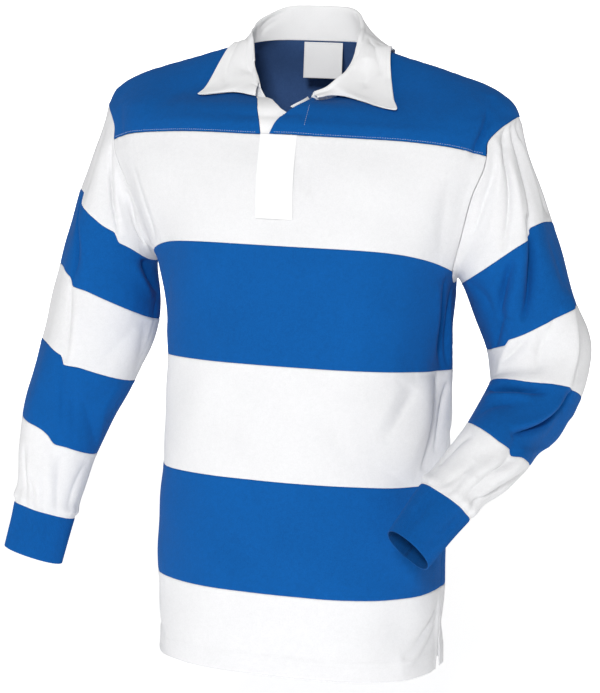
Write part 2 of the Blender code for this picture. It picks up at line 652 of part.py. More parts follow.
def collar_column(turn, place):
    """Points of one section of the collar, and the body's normal at the neck seam below it."""
    ridge_x, ridge_y, stand, edge_x, edge_y = place
    neck = float(level_of("neck"))
    _, up, normal = slopes(body_surface, turn, neck)
    across = ((turn + 2) % 4 - 2) * quarter_length(neck, 4)
    raised = flap_raise(across) if across > 0 else 0.0
    seam = body_surface(turn, neck) + normal * (raised - CLOTH) + up * SEAM_GAP
    upright = np.array([0, 0, 1.0])
    centre = np.array([ridge_x, ridge_y, seam[2] + stand - FOLD_RADIUS])
    edge = np.array([edge_x, edge_y, roof(edge_x, edge_y)])
    edge = edge + roof_normal(edge_x, edge_y) * (LEAF_CLEAR + TWILL)
    away = unit((edge - centre) * np.array([1, 1, 0]))
    column = [seam + (centre - away * FOLD_RADIUS - seam) * k / STAND_ROWS for k in range(STAND_ROWS + 1)]
    for degrees in FOLD_ANGLES:
        angle = math.radians(degrees)
        column.append(centre + (away * math.cos(angle) + upright * math.sin(angle)) * FOLD_RADIUS)
    start = centre + away * FOLD_RADIUS
    pull = start + away * LEAF_BULGE - upright * LEAF_DROP * max(start[2] - edge[2], 0)
    for k in range(LEAF_ROWS + 1):
        s = k / LEAF_ROWS
        point = (1 - s) ** 2 * start + 2 * s * (1 - s) * pull + s * s * edge
        clear = LEAF_CLEAR + TWILL + (flap_raise(point[0]) if point[0] > 0 else 0.0)
        floor = roof(point[0], point[1]) + clear / roof_normal(point[0], point[1])[2]
        column.append(np.array([point[0], point[1], max(point[2], floor)]))
    return column, normal


# ---------------------------------------------------------------- sleeves
def armhole_loop(side):
    """Points, normals and outward directions round an armhole, from the underarm up the front edge, over
    the shoulder point and down the back edge."""
    levels = body_levels("underarm", "shoulder_point")
    turns = np.concatenate([1 - side_inset(levels, 1), 1 + side_inset(levels[-2:0:-1], 2)])
    levels = np.concatenate([levels, levels[-2:0:-1]])
    if side == "right":
        turns = -turns
    points = body_surface(turns, levels)
    normal = slopes(body_surface, turns, levels)[2]
    along = unit(np.roll(points, -1, axis=0) - np.roll(points, 1, axis=0))
    outward = unit(np.cross(along, normal))
    if side == "right":
        outward = -outward
    return points, normal, outward


def ring_shapes(side, angle, route):
    """Each ring of a sleeve as points at the given angles, with the steps of its creases."""
    rings = SLEEVE_RINGS[side]
    along_way = unit(np.gradient(route, axis=0)[1:])
    cosine = np.sign(np.cos(angle)) * abs(np.cos(angle)) ** (2 / RING_SQUARENESS)
    sine = np.sign(np.sin(angle)) * abs(np.sin(angle)) ** (2 / RING_SQUARENESS)
    degrees = np.degrees(angle)
    shapes = []
    for (name, row), middle, down in zip(rings.items(), route[1:], along_way):
        outer, inner, depth, front_drop = np.array(row[0:3]), np.array(row[3:6]), row[6], row[7]
        half = (outer - inner) / 2
        forward = unit(np.cross(down, half))
        if forward[1] > 0:
            forward = -forward
        shift = front_drop * sine
        for ring, start_turn, end_turn, step_up in CREASES[side]:
            if ring == name:
                sharp_end = ease((start_turn - degrees) / CREASE_RAMP)
                soft_end = ease((degrees - end_turn) / (2 * CREASE_RAMP))
                shift = shift - step_up * sharp_end * soft_end
        reach = cosine[:, None] * half + sine[:, None] * forward * depth / 2
        shapes.append(middle + reach + shift[:, None] * down)
    return shapes


def sleeve_normals(grid, side):
    around = np.roll(grid, -1, axis=1) - np.roll(grid, 1, axis=1)
    normal = unit(np.cross(np.gradient(grid, axis=0), around))
    return normal if side == "left" else -normal


def sleeve_fold_height(side, along, angle):
    """Height of the sleeve's cloth over its plain form, round and down the sleeve."""
    height = np.zeros(np.broadcast(along, angle).shape)
    for start_along, start_turn, end_along, end_turn, depth, half_width in SLEEVE_FOLDS[side]:
        middle = (start_turn + end_turn) / 2
        wrapped = np.radians((np.degrees(angle) - middle + 180) % 360 - 180 + middle) * SLEEVE_RADIUS
        start, end = math.radians(start_turn) * SLEEVE_RADIUS, math.radians(end_turn) * SLEEVE_RADIUS
        fold = (start, start_along, end, end_along, depth, half_width)
        height += fold_height(wrapped, along, [fold])
    return height * ease(along / FOLDS_START)


def sleeve_grid(side):
    """Rows of points from armhole to cuff, their normals, the row number of each ring, and the directions
    in which the body's and the sleeve's walls meet at the armhole."""
    rings = SLEEVE_RINGS[side]
    loop, body_normal, outward = armhole_loop(side)
    angle = math.pi - np.arange(len(loop)) * 2 * math.pi / len(loop)
    table = np.array(list(rings.values()))
    route = np.concatenate([[loop.mean(axis=0)], (table[:, 0:3] + table[:, 3:6]) / 2])
    shapes = np.array([loop] + ring_shapes(side, angle, route))
    station = np.concatenate([[0], np.cumsum(np.linalg.norm(np.diff(route, axis=0), axis=1))])
    at, ring_rows = [0.0], [0]
    for k, rows in enumerate(table[:, 8].astype(int)):
        at += [station[k] + (station[k + 1] - station[k]) * (r + 1) / rows for r in range(rows)]
        ring_rows.append(ring_rows[-1] + rows)
    chord = shapes[1] - shapes[0]
    pace = np.linalg.norm(chord, axis=1, keepdims=True) / (station[1] - station[0])
    leaving = unit(outward + SLEEVE_LIFT * body_normal + SLEEVE_AIM * unit(chord)) * pace
    points = flowing(station, shapes, np.array(at), leaving)
    normal = sleeve_normals(points, side)
    height = sleeve_fold_height(side, np.array(at)[:, None], angle[None, :])
    points = points + normal * height[..., None]
    normal = sleeve_normals(points, side)
    mitre = unit(body_normal + normal[0])
    mitre = mitre / np.sum(mitre * body_normal, axis=1, keepdims=True)
    normal[0] = mitre
    return points, normal, dict(zip(["armhole"] + list(rings), ring_rows)), mitre


def make_sleeves():
    for side in SLEEVE_RINGS:
        points, normal, row_of, _ = sleeve_grid(side)
        for name, high, low, colour in SLEEVE_HOOPS:
            rows = slice(row_of[high], row_of[low] + 1)
            # Rows rise and columns run to the viewer's right, so the grid is turned over where it must be.
            piece, out = points[rows][::-1], normal[rows][::-1]
            if side == "right":
                piece, out = piece[:, ::-1], out[:, ::-1]
            wall(side + "_" + name, open_seams(piece, ring=True), out, CLOTH, colour, ring=True)


def main():
    for item in list(bpy.data.objects):
        bpy.data.objects.remove(item, do_unlink=True)
    make_body()
    make_opening()
    make_label()
    make_collar()
    make_sleeves()


if __name__ == "__main__":
    main()
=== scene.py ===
"""Dresses the long-sleeved rugby shirt: jersey hoops with their folds, a twill collar and placket, rib cuffs,
the neck label, the stitching, and a plain stage."""

import math

import bpy
import numpy as np
from mathutils import Matrix, Vector
from mathutils.bvhtree import BVHTree
from mathutils.kdtree import KDTree


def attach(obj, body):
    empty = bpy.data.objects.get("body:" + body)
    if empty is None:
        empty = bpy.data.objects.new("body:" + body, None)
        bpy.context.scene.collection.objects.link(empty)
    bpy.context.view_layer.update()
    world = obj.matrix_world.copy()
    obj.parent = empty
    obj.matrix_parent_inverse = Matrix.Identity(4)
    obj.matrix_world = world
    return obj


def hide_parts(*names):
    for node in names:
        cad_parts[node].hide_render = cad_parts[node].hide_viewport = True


bl_info = {
    "name": "Rugby shirt",
    "version": (1, 0, 0),
    "blender": (4, 5, 0),
    "location": "View3D > Sidebar > Shirt",
    "description": "Cloth, stitching and stage for a long-sleeved rugby shirt",
    "category": "Object",
}

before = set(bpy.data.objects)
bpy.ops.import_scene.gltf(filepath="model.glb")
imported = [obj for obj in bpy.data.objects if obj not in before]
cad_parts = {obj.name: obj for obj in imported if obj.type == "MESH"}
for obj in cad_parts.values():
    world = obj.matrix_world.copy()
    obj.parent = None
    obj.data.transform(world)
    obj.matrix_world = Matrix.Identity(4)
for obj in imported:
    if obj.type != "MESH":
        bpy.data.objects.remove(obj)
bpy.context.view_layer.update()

# ---------------------------------------------------------------- how the walls are read
TINY = 1e-15  # kept under a division
WELD = 1e-5  # corners nearer than this are one point
WALL_REACH = 0.0027  # the two sides of a wall lie within this
OPPOSITE = 0.88  # and face away from each other, as the cosine of the angle
EVEN = 0.4  # and are the wall's own thickness apart, to this share
INSIDE = 1e-5  # a ray starts this far under a face
# Along the armholes a wall's rim is slanted. All round any other piece it is as wide as the wall is thick.
SLANTED = ("yoke", "chest", "hoop_2", "sleeve_1")
EVEN_WITHIN = 4e-6
WALL = 0.0016
STRIP_WALL = 0.0012
WALLS = {
    "collar": 0.0018,
    "placket_under": STRIP_WALL,
    "placket_facing": STRIP_WALL,
    "placket_over": STRIP_WALL,
    "neck_label": STRIP_WALL,
}
CELLS_TRIED = 5  # one cell in this many tells which way a grid faces

# ---------------------------------------------------------------- the mesh of the cloth
STEP = 0.0026  # between two points of the fine cloth
BACK_STEP = 0.0040
SLEEVE_STEP = 0.0023
STRIP_STEP = 0.0016
EDGE_PLACES = (0.0007, 0.0015, 0.0027)  # of the extra points beside a seam or an edge
SOFTEN = 0.010  # over this distance the corners of the coarse grid are evened out
YOKE_SOFTEN = 0.020
CLOSEST = 0.0006  # that a plain point comes to an extra one
SEAM_HALF = 0.00006  # half of the gap at a seam
RING_PAD = 3  # columns repeated past a tube's start, to keep it smooth there
CUFF_SPLIT = 16  # points of a cuff for each column of the sleeve
CUFF_RIBS = 104  # round each cuff

PANELS = {
    "front": ("hem_hoop", "hoop_4", "hoop_3", "hoop_2", "chest"),
    "back": ("hem_hoop", "hoop_4", "hoop_3", "hoop_2", "chest", "yoke"),
}
SLEEVE_HOOPS = ("cuff", "sleeve_5", "sleeve_4", "sleeve_3", "sleeve_2", "sleeve_1")
BLUE_HOOPS = ("hoop_4", "hoop_2", "yoke", "yoke_right", "yoke_left", "sleeve_4", "sleeve_2")

# ---------------------------------------------------------------- relief of the cloth
SEAM_DIP = 0.0004  # how deep the cloth is drawn in at a seam
SEAM_WIDTH = 0.0011  # and half how wide
PUCKER = 0.00022  # height of the small ripples beside a seam
PUCKER_REACH = 0.012
PUCKER_WAVES = (0.0085, 0.0120, 0.0175)  # their lengths
EDGE_SEED = 40  # of the ripples beside a piece's own edges
WAVE_HEIGHTS = (0.3, 0.6)  # lowest and highest share of each wave
ALLOWANCE = 0.006  # of cloth turned back under the lower side of a seam
ALLOWANCE_LIFT = 0.00022
EDGE_FADE = 0.010  # folds fade out over this distance from a panel's sewn edges
ARMHOLE_FADE = 0.006
HEM = 0.024  # depth of the turned hem
HEM_LIFT = 0.0004
HEM_STITCHES = 0.0015  # under the hem's turned edge
ROLL = 0.0012  # uneven swell of all cloth
ROLL_WAVES = (0.045, 0.110)  # shortest and longest
ROLL_COUNT = 14
ROLL_RISE = 0.55  # how much its waves run up the cloth, to how much they run across
ROLL_SEED = 3
GATHER = 0.0016  # of the sleeve at its cuff
GATHER_COUNTS = (5, 8, 11, 13)  # of waves round the sleeve
GATHER_REACH = 0.020
GATHER_SEEDS = {"right": 0, "left": 1}
PUFF = 0.0020  # how far the sleeve swells above its cuff
PUFF_ABOVE = 0.008
PUFF_LOBES = 3
PUFF_UNEVEN = 0.5
RIB_LIFT = 0.00028  # of the cuff's ribs
ROUND = 0.0016  # width of the rounding along a free edge
ROUND_SHARE = 0.35  # of the thickness left at the very edge
GROOVE = 0.00035  # how deep a row of stitches draws the cloth in
GROOVE_WIDTH = 0.0011
COLLAR_STITCHES = 0.0050  # inside the collar's edge
COLLAR_RIDGE = 0.044  # from the neck seam to where the collar folds over
STRIP_STITCHES = 0.0022  # inside the edges of plackets and label
BOX = 0.036  # height of the stitched box at the foot of the placket
TWIN = 0.0060  # between the two rows of the hem
VENT = 0.060  # height of the slit in each side seam
VENT_STITCHES = 0.0060  # beside it
SEAM_STITCHES = 0.0020  # above the yoke seam
FLAP = "front_yoke_left"
FLAP_STITCHES = 0.029  # from the middle to the row that runs down the flap
FLAP_ROW = (-0.097, -0.070)  # heights of its ends
FLAP_TURNED = 0.0042  # of its edge, folded under
FLAP_LIFT = 0.0009  # over that edge
FLAP_SOFT = 0.0016
COLLAR_SWELL = 0.0007
STRIPS = (  # name, the way it faces, whether its rows follow its long sides, slot, edges not sewn down
    ("collar", (0, 0, 1), True, "white_twill", ("start", "end", "high")),
    ("placket_under", (0, -1, 0), False, "white_twill", ("start", "end")),
    ("placket_facing", (0, -1, 0), False, "white_twill", ("start", "end")),
    ("placket_over", (0, -1, 0), False, "white_twill", ("start", "end", "low")),
    ("neck_label", (0, -1, 0), False, "white_tape", ("start", "end", "low")),
)

# Folds. Each runs through three places, each across and along, and then has its lift, below nothing for a
# trough, half its width, how sharp its bottom is, and its lean, which makes the side to the right of its way
# wider. Lengths are millimetres. On the front and back, across is from the middle to the wearer's left along
# the cloth, and along is the height. On a sleeve, across is degrees round it, 0 opposite the underarm and
# positive to the front, and along is down from the armhole. On the collar, across is to the wearer's left of
# its middle, and along is up from the neck seam and over the fold.
MM = 0.001
FOLDS = {
    "front": (
        (222, -262, 226, -315, 226, -372, -8.7, 6, 0.6),
        (250, -272, 240, -325, 237, -368, -6.5, 5.1, 0.6),
        (205, -270, 206, -310, 208, -360, 3.9, 9.2, 0.2),
        (218, -372, 203, -414, 182, -482, -12, 9, 0.7, -0.7),
        (238, -384, 228, -417, 211, -464, -7, 4.2, 0.7),
        (190, -376, 178, -430, 150, -490, 8, 19, 0.1),
        (170, -388, 152, -414, 128, -448, -4.1, 8.3, 0.3, 0.2),
        (150, -384, 134, -410, 116, -440, 2.3, 9.2, 0.1),
        (60, -400, 75, -440, 96, -480, -1.4, 12.9, 0.1),
        (240, -644, 198, -670, 158, -698, -7, 5.8, 0.5),
        (238, -660, 205, -690, 160, -712, -4.6, 7.4, 0.3),
        (228, -650, 190, -678, 146, -702, 2.9, 7.4, 0.1),
        (190, -500, 206, -545, 212, -600, -4.3, 11, 0.3),
        (150, -520, 172, -570, 176, -620, 2.1, 13.8, 0.1),
        (-198, -140, -184, -190, -180, -228, -2.4, 3.4, 0.6),
        (-190, -150, -172, -190, -170, -228, 1, 6, 0.1),
        (-215, -262, -200, -300, -205, -345, -4.3, 6.9, 0.4),
        (-150, -255, -160, -290, -180, -330, -1.7, 10.1, 0.2),
        (-222, -380, -196, -430, -205, -490, -4.3, 8.3, 0.3),
        (-218, -660, -190, -680, -150, -694, -3.2, 7.8, 0.2),
        (-205, -700, -165, -705, -110, -716, -2.3, 7.4, 0.2),
        (27, -133, 33, -151, 39, -172, -2, 5.5, 0.3),
        (200, -150, 196, -195, 206, -238, -2.3, 9.2, 0.2),
        (238, -72, 232, -98, 222, -128, -7.2, 4.4, 0.6),
        (250, -56, 240, -70, 208, -84, -3.8, 7.4, 0.3),
        (215, -52, 180, -70, 150, -100, -1.7, 11, 0.1),
        (-232, -70, -220, -95, -214, -122, -2, 8.3, 0.2),
        (-130, -40, -150, -60, -180, -76, -1.4, 10.1, 0.1),
    ),
    "back": (
        (232, -268, 220, -320, 226, -380, -8, 7.4, 0.5),
        (212, -262, 190, -330, 180, -420, 3.6, 11, 0.2),
        (196, -250, 168, -330, 150, -430, -6.5, 9.2, 0.4),
        (184, -140, 172, -190, 186, -236, -4.3, 9.2, 0.4),
        (-236, -268, -224, -330, -220, -400, -8, 7.4, 0.5),
        (-206, -256, -178, -340, -150, -450, -6.5, 9.2, 0.4),
        (-190, -250, -160, -330, -130, -420, 3.4, 11, 0.2),
        (-180, -130, -168, -180, -184, -230, -4.3, 9.2, 0.4),
        (30, -180, 12, -290, 20, -430, -3.8, 12.9, 0.3),
        (-60, -220, -48, -330, -56, -460, -3.2, 13.8, 0.2),
        (90, -240, 80, -350, 96, -480, -3.5, 12.9, 0.3),
        (220, -440, 150, -470, 70, -480, -3.8, 10.1, 0.4),
        (-230, -470, -160, -505, -80, -514, -4.1, 10.1, 0.4),
        (224, -560, 170, -600, 110, -622, -3.2, 10.1, 0.3),
        (-228, -640, -170, -670, -120, -690, -3.2, 9.2, 0.3),
        (226, -660, 180, -690, 130, -706, -3.2, 9.2, 0.3),
        (130, -30, 170, -50, 215, -100, -2.9, 9.2, 0.3),
        (-120, -28, -165, -52, -205, -104, -2.9, 9.2, 0.3),
        (20, -60, 60, -75, 110, -78, -2, 10.1, 0.2),
    ),
    "right": (
        (166, 70, 160, 160, 166, 250, -0.9, 1.2, 0.5),
        (166, 236, 155, 290, 170, 345, -0.9, 1.2, 0.5),
        (170, 330, 174, 380, 178, 440, -0.9, 1.2, 0.5),
        (60, 4, 84, 38, 99, 72, -9.2, 4.2, 0.8, 0.2),
        (76, 6, 92, 35, 112, 66, 2.6, 6.4, 0.2),
        (100, 10, 122, 34, 142, 56, -8.7, 5.5, 0.6),
        (118, 20, 134, 44, 152, 66, 3.9, 5.5, 0.3),
        (30, 10, 34, 40, 36, 76, -2.6, 6.4, 0.4),
        (12, 78, 44, 112, 49, 160, -6.7, 4.8, 0.8, 0.4),
        (26, 82, 56, 112, 60, 156, 2.6, 6.4, 0.3),
        (50, 160, 61, 202, 71, 244, -8.5, 4.2, 0.85),
        (62, 162, 70, 198, 74, 232, 2, 7.4, 0.2),
        (138, 80, 148, 98, 172, 126, -11.5, 8.5, 0.6),
        (120, 90, 134, 112, 150, 132, 4.4, 7.4, 0.2),
        (168, 126, 160, 142, 158, 160, -3, 8, 0.2),
        (147, 164, 152, 195, 164, 231, -2.4, 8, 0.2),
        (134, 178, 121, 203, 109, 232, -1.8, 7, 0.3),
        (64, 238, 82, 286, 98, 338, -2.6, 5.1, 0.7),
        (108, 278, 128, 304, 158, 334, -2.9, 6, 0.5),
        (84, 256, 100, 296, 116, 336, -2, 5.5, 0.5),
        (150, 250, 138, 286, 164, 332, 2.3, 6.4, 0.2),
        (36, 366, 41, 402, 55, 434, -4.3, 4.6, 0.6, 0.3),
        (48, 392, 66, 416, 84, 434, -4.6, 4.4, 0.7, 0.2),
        (48, 376, 54, 404, 66, 430, 2.3, 5.1, 0.2),
        (104, 352, 110, 396, 124, 432, -2.3, 5.5, 0.4),
        (78, 360, 84, 396, 92, 432, -1.7, 5.5, 0.3),
        (150, 350, 140, 392, 146, 432, -2.9, 5.5, 0.4),
        (-40, 10, -60, 60, -104, 110, -7.2, 7.4, 0.5),
        (-70, 16, -92, 60, -130, 96, -5.8, 7.4, 0.5),
        (-56, 8, -78, 60, -116, 104, 3.1, 8.3, 0.2),
        (-150, 100, -120, 130, -80, 150, -7.2, 7.4, 0.5),
        (-160, 150, -118, 182, -60, 200, -7.2, 7.8, 0.5),
        (-150, 164, -116, 196, -66, 216, 3.4, 8.3, 0.2),
        (-30, 190, -60, 240, -130, 270, -5.2, 7.4, 0.4),
        (-100, 290, -84, 330, -96, 372, -3.8, 6.9, 0.4),
        (-50, 350, -60, 392, -72, 432, -3.8, 5.5, 0.5),
        (-104, 370, -110, 402, -120, 432, -3.8, 5.5, 0.5),
        (-10, 360, -14, 398, -24, 432, -3.2, 5.5, 0.4),
    ),
    "left": (
        (172, 70, 176, 160, 176, 250, -0.9, 1.2, 0.5),
        (176, 236, 174, 330, 178, 440, -0.9, 1.2, 0.5),
        (44, 6, 78, 12, 116, 24, -7.4, 5, 0.6),
        (26, 1, 47, 20, 92, 70, -12, 5, 0.75),
        (38, 4, 70, 22, 104, 52, 2.9, 7.4, 0.2),
        (22, 1, 27, 28, 50, 78, -15.5, 5.2, 0.8, -0.3),
        (38, 10, 50, 36, 68, 74, 3.6, 6.4, 0.2),
        (14, 1, 4, 26, 5, 70, -12.5, 5.2, 0.8, -0.2),
        (14, 12, 14, 36, 26, 74, 3.4, 5, 0.2),
        (50, 60, 68, 99, 102, 150, -19, 6, 0.85, -0.3),
        (66, 72, 84, 100, 116, 138, 5.2, 8.5, 0.2),
        (86, 84, 107, 107, 128, 134, -11, 6.2, 0.6),
        (114, 128, 133, 146, 146, 166, -5, 5, 0.5),
        (146, 80, 131, 106, 140, 146, -3.8, 7.4, 0.4),
        (28, 88, 32, 118, 42, 150, -2.3, 7.4, 0.3),
        (97, 167, 115, 176, 139, 188, -5.2, 5, 0.6),
        (56, 159, 76, 175, 98, 190, -4.8, 5.5, 0.5),
        (112, 160, 134, 180, 148, 212, 2.9, 6.4, 0.2),
        (80, 168, 93, 192, 99, 222, -3.8, 6.9, 0.3),
        (26, 152, 53, 191, 50, 242, 11, 16, 0.75),
        (20, 156, 46, 191, 43, 238, -3, 3, 0.6),
        (154, 262, 116, 250, 74, 246, -15, 6, 0.7),
        (148, 284, 124, 266, 90, 256, 5.2, 6.9, 0.2),
        (36, 236, 46, 267, 76, 310, -19, 6.8, 0.85, -0.2),
        (54, 240, 62, 268, 84, 304, 5.7, 7.8, 0.2),
        (36, 232, 22, 272, 8, 304, -10, 19, 0.1),
        (136, 318, 118, 276, 84, 262, -3.2, 7.4, 0.3),
        (66, 306, 61, 360, 60, 426, -5.2, 5.7, 0.5),
        (80, 316, 76, 362, 76, 424, 2.9, 6.9, 0.2),
        (-2, 325, 15, 377, 46, 416, -7.5, 7, 0.6),
        (50, 318, 61, 347, 72, 384, -4.5, 5.8, 0.5),
        (50, 312, 40, 362, 42, 424, 3.1, 6.9, 0.2),
        (146, 398, 144, 366, 120, 340, -4.3, 6, 0.5),
        (112, 424, 98, 398, 96, 366, -3.8, 5.3, 0.4),
        (24, 430, 31, 414, 38, 396, -3.2, 4.1, 0.4),
        (90, 428, 86, 410, 90, 388, -2.9, 4.1, 0.4),
        (-30, 6, -50, 60, -96, 116, -7.5, 7.4, 0.5),
        (-64, 12, -86, 56, -130, 90, -6.1, 7.4, 0.5),
        (-46, 10, -68, 60, -112, 104, 3.4, 8.3, 0.2),
        (-140, 110, -104, 136, -60, 150, -6.7, 7.4, 0.4),
        (-20, 176, -50, 214, -110, 238, -8.4, 7.4, 0.5),
        (-150, 190, -100, 216, -40, 232, 3.9, 8.3, 0.2),
        (-10, 252, -50, 270, -120, 262, -8.1, 7.4, 0.5),
        (-150, 290, -104, 310, -50, 330, -5.8, 7.4, 0.4),
        (-40, 340, -60, 386, -64, 428, -4.1, 5.5, 0.5),
        (-100, 350, -112, 392, -116, 428, -4.1, 5.5, 0.5),
        (-14, 340, -16, 386, -22, 428, -3.5, 5.5, 0.4),
    ),
    "collar": (
        (112, 40, 148, 53, 174, 70, -3.4, 3.4, 0.7, 0.2),
        (124, 64, 150, 68, 172, 84, 5, 7.6, 0.2),
        (128, 40, 160, 45, 186, 56, 3.4, 4.4, 0.2),
        (158, 46, 176, 52, 192, 68, -3, 5.2, 0.4),
        (112, 54, 126, 64, 136, 86, -2.8, 4.6, 0.5),
        (-158, 60, -190, 71, -218, 62, -4.2, 4.6, 0.6),
        (-150, 78, -184, 86, -212, 80, 3, 7.5, 0.2),
        (-48, 36, -76, 26, -94, 14, -3, 3.6, 0.6),
        (-60, 26, -80, 18, -94, 8, -2, 3, 0.5),
        (50, 36, 66, 28, 78, 16, -2.2, 3.6, 0.5),
        (-70, 56, -58, 78, -66, 100, -2.6, 6, 0.4),
        (64, 54, 52, 80, 60, 102, -2.6, 6, 0.4),
    ),
}
# Where a crease laps a sleeve, its hoop seam steps: the seam, counted up from the cuff, the turn, how many
# millimetres the seam steps down the sleeve, and the degrees that it takes.
STEPS = {
    "right": ((5, 26, 7, 5), (5, 97, 9, 4), (4, 50, 9, 4), (3, 66, 10, 4), (2, 84, 6, 9)),
    "left": ((5, 51, 8, 4), (4, 126, 6, 4), (2, 63, -7, 5)),
}
STEP_SOFT = 26  # degrees on either side over which a step eases out
STEP_REACH = 0.030  # and how far along the sleeve
FOLD_STEPS = 14  # straight stretches of a fold
FOLD_FADE = 0.6  # how slowly it dies away towards its ends

# ---------------------------------------------------------------- stitches
STITCH_SEGMENTS = 6  # faces round a stitch
STITCH_RINGS = 4  # and along it
STITCH_HEIGHT = 0.7  # of a stitch, as a share of the thread's thickness
STITCH_FILL = 0.70  # of the space from one stitch to the next
STITCH_SIT = 0.12  # how high its middle lies over the cloth, in threads
STITCH_REACH = 0.001  # over this distance a row's direction is taken

# ---------------------------------------------------------------- finishes
JERSEY_PITCH = 0.0013  # of the columns of knit stitches
RIB_PITCH = 0.8  # of the cuffs, to that
KNIT_HEIGHT = 0.75  # of a knit stitch, to its width
KNIT_SLOPE = 1.6  # how steeply its two legs meet
KNIT_ROUND = (2.4, 2.0)  # how round the yarn is, along the stitch and across it
KNIT_DEPTH = 0.00012
KNIT_FUZZ = 0.8  # height of the fuzz, to that of the yarn
PLAIN = 2.0  # detail of a noise
FINE = 3.0
FUZZ_SIZE = 0.0014
PATCH_SIZE = 0.005
WASH_SIZE = 0.060
UNEVEN = 0.42  # in the colour of the knit
UNEVEN_BY_DYE = 1.1  # times this, less how light the colour is
PATCHES = 0.6  # how much patches and wash add to the fuzz
WASH = 0.4
KNIT_ROUGH = (0.80, 0.16)  # plain, and what patches add
FADED = 0.32  # of its colour, lost on the reverse of the knit
# painted shade: the inside of the cuffs is painted darker, to this share of their colour
CUFF_INSIDE_SHADE = 0.62
TWILL_PITCH = 0.0011
TWILL_WARP = 1.7  # of the warp's threads to each diagonal
TWILL_DEPTH = 0.00003
TWILL_RELIEF = (0.5, 0.2, 0.4)  # of its diagonal, warp and fuzz
TWILL_FUZZ_SIZE = 0.0010
TWILL_WASH_SIZE = 0.030
TWILL_TINT = (0.915, 0.08, 0.08)  # plain, and what fuzz and wash add
THREAD_TWIST = 0.0006
THREAD_TINT_AND_GROOVE_SHADE = (0.93, 0.05)  # plain, and how much lighter the twist's ridges and darker its grooves are painted: painted shade
THREAD_DEPTH = 0.00006
KNIT_LOOK = {"Specular IOR Level": 0.06, "Sheen Weight": 0.03, "Sheen Roughness": 0.5}
TWILL_LOOK = {"Roughness": 0.82, "Specular IOR Level": 0.15, "Sheen Weight": 0.03, "Sheen Roughness": 0.5}
THREAD_LOOK = {"Roughness": 0.6, "Specular IOR Level": 0.3}

# ---------------------------------------------------------------- camera and stage
CAMERA_TURN = 17.0
CAMERA_RISE = 4.0
CAMERA_ROLL = 1.0
CAMERA_DISTANCE = 2.6
CAMERA_TARGET = (0.0, 0.0, -0.33)
FOCAL_PIXELS = 2203.0
IMAGE_SIZE = (600, 693)
TARGET_PIXEL = (306, 328)
SENSOR = 36.0
ROOM_LIGHT = 0.30
PAPER = (0.92, 0.92, 0.92)
PAPER_GRAIN = 0.02
PAPER_TINT = (0.98, 0.04)
PAPER_LOOK = {"Roughness": 0.9, "Specular IOR Level": 0.0, "Emission Color": (1, 1, 1, 1)}
STAGE = (  # name, place, tilt in degrees, size, glow
    ("floor", (-0.4, 1.3, -0.86), 0, 8.4, 0.66),
    ("backdrop", (-1.61, 5.26, 0.64), 90, 3.0, 1.0),
)
LAMPS = (  # name, place, size, watts
    ("key", (1.0, -6.4, 1.9), 1.2, 256),
    ("side", (-2.6, -1.0, 0.9), 1.4, 5),
)


# ================================================================ properties
class ShirtSizes(bpy.types.PropertyGroup):
    """Thicknesses and lengths that can be set in the sidebar"""
    cloth: bpy.props.FloatProperty(
        name="Jersey", description="Thickness of the jersey", default=0.0011, unit="LENGTH", precision=4)
    twill: bpy.props.FloatProperty(
        name="Twill", description="Thickness of the collar", default=0.0016, unit="LENGTH", precision=4)
    strip: bpy.props.FloatProperty(
        name="Strips", description="Thickness of the plackets", default=0.0010, unit="LENGTH", precision=4)
    stitch: bpy.props.FloatProperty(
        name="Stitch", description="From one stitch to the next", default=0.0028, unit="LENGTH", precision=4)
    thread: bpy.props.FloatProperty(
        name="Thread", description="Thickness of sewing thread", default=0.00034, unit="LENGTH", precision=4)


class ShirtColours(bpy.types.PropertyGroup):
    """Colours that can be set in the sidebar"""
    blue: bpy.props.FloatVectorProperty(
        name="Blue", description="Blue hoops and cuffs", subtype="COLOR", size=3, min=0, max=1,
        default=(0.0045, 0.096, 0.350))
    white: bpy.props.FloatVectorProperty(
        name="White", description="White hoops", subtype="COLOR", size=3, min=0, max=1,
        default=(0.81, 0.81, 0.82))
    twill: bpy.props.FloatVectorProperty(
        name="Twill", description="Collar, plackets and label", subtype="COLOR", size=3, min=0, max=1,
        default=(0.93, 0.93, 0.935))


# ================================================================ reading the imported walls
def wall_triangles(name):
    """A wall's points, with those in one place made one, and its triangles."""
    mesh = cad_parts[name].data
    mesh.calc_loop_triangles()
    points = np.empty(len(mesh.vertices) * 3, np.float32)
    mesh.vertices.foreach_get("co", points)
    corners = np.empty(len(mesh.loop_triangles) * 3, np.int32)
    mesh.loop_triangles.foreach_get("vertices", corners)
    points = points.reshape(-1, 3).astype(float)
    places = np.round(points / WELD).astype(int)
    _, first, again = np.unique(places, axis=0, return_index=True, return_inverse=True)
    return points[first], again.ravel()[corners].reshape(-1, 3)


def tree_of(points):
    """A tree that finds the point nearest to a place."""
    tree = KDTree(len(points))
    for i, point in enumerate(points):
        tree.insert(point, i)
    tree.balance()
    return tree


def faces_of_even_thickness(points, triangles, centre, normal):
    """The triangles that have the wall's own thickness straight behind them."""
    tree = BVHTree.FromPolygons(points.tolist(), triangles.tolist())

    def way_through(i):
        start, way = Vector(centre[i] - normal[i] * INSIDE), Vector(-normal[i])
        _, found, _, far = tree.ray_cast(start, way, WALL_REACH)
        return far if found is not None and found.dot(way) > OPPOSITE else 0.0

    through = np.array([way_through(i) for i in range(len(centre))])
    thickness = np.median(through[through > 0])
    return [i for i in range(len(centre)) if abs(through[i] / thickness - 1) < EVEN]


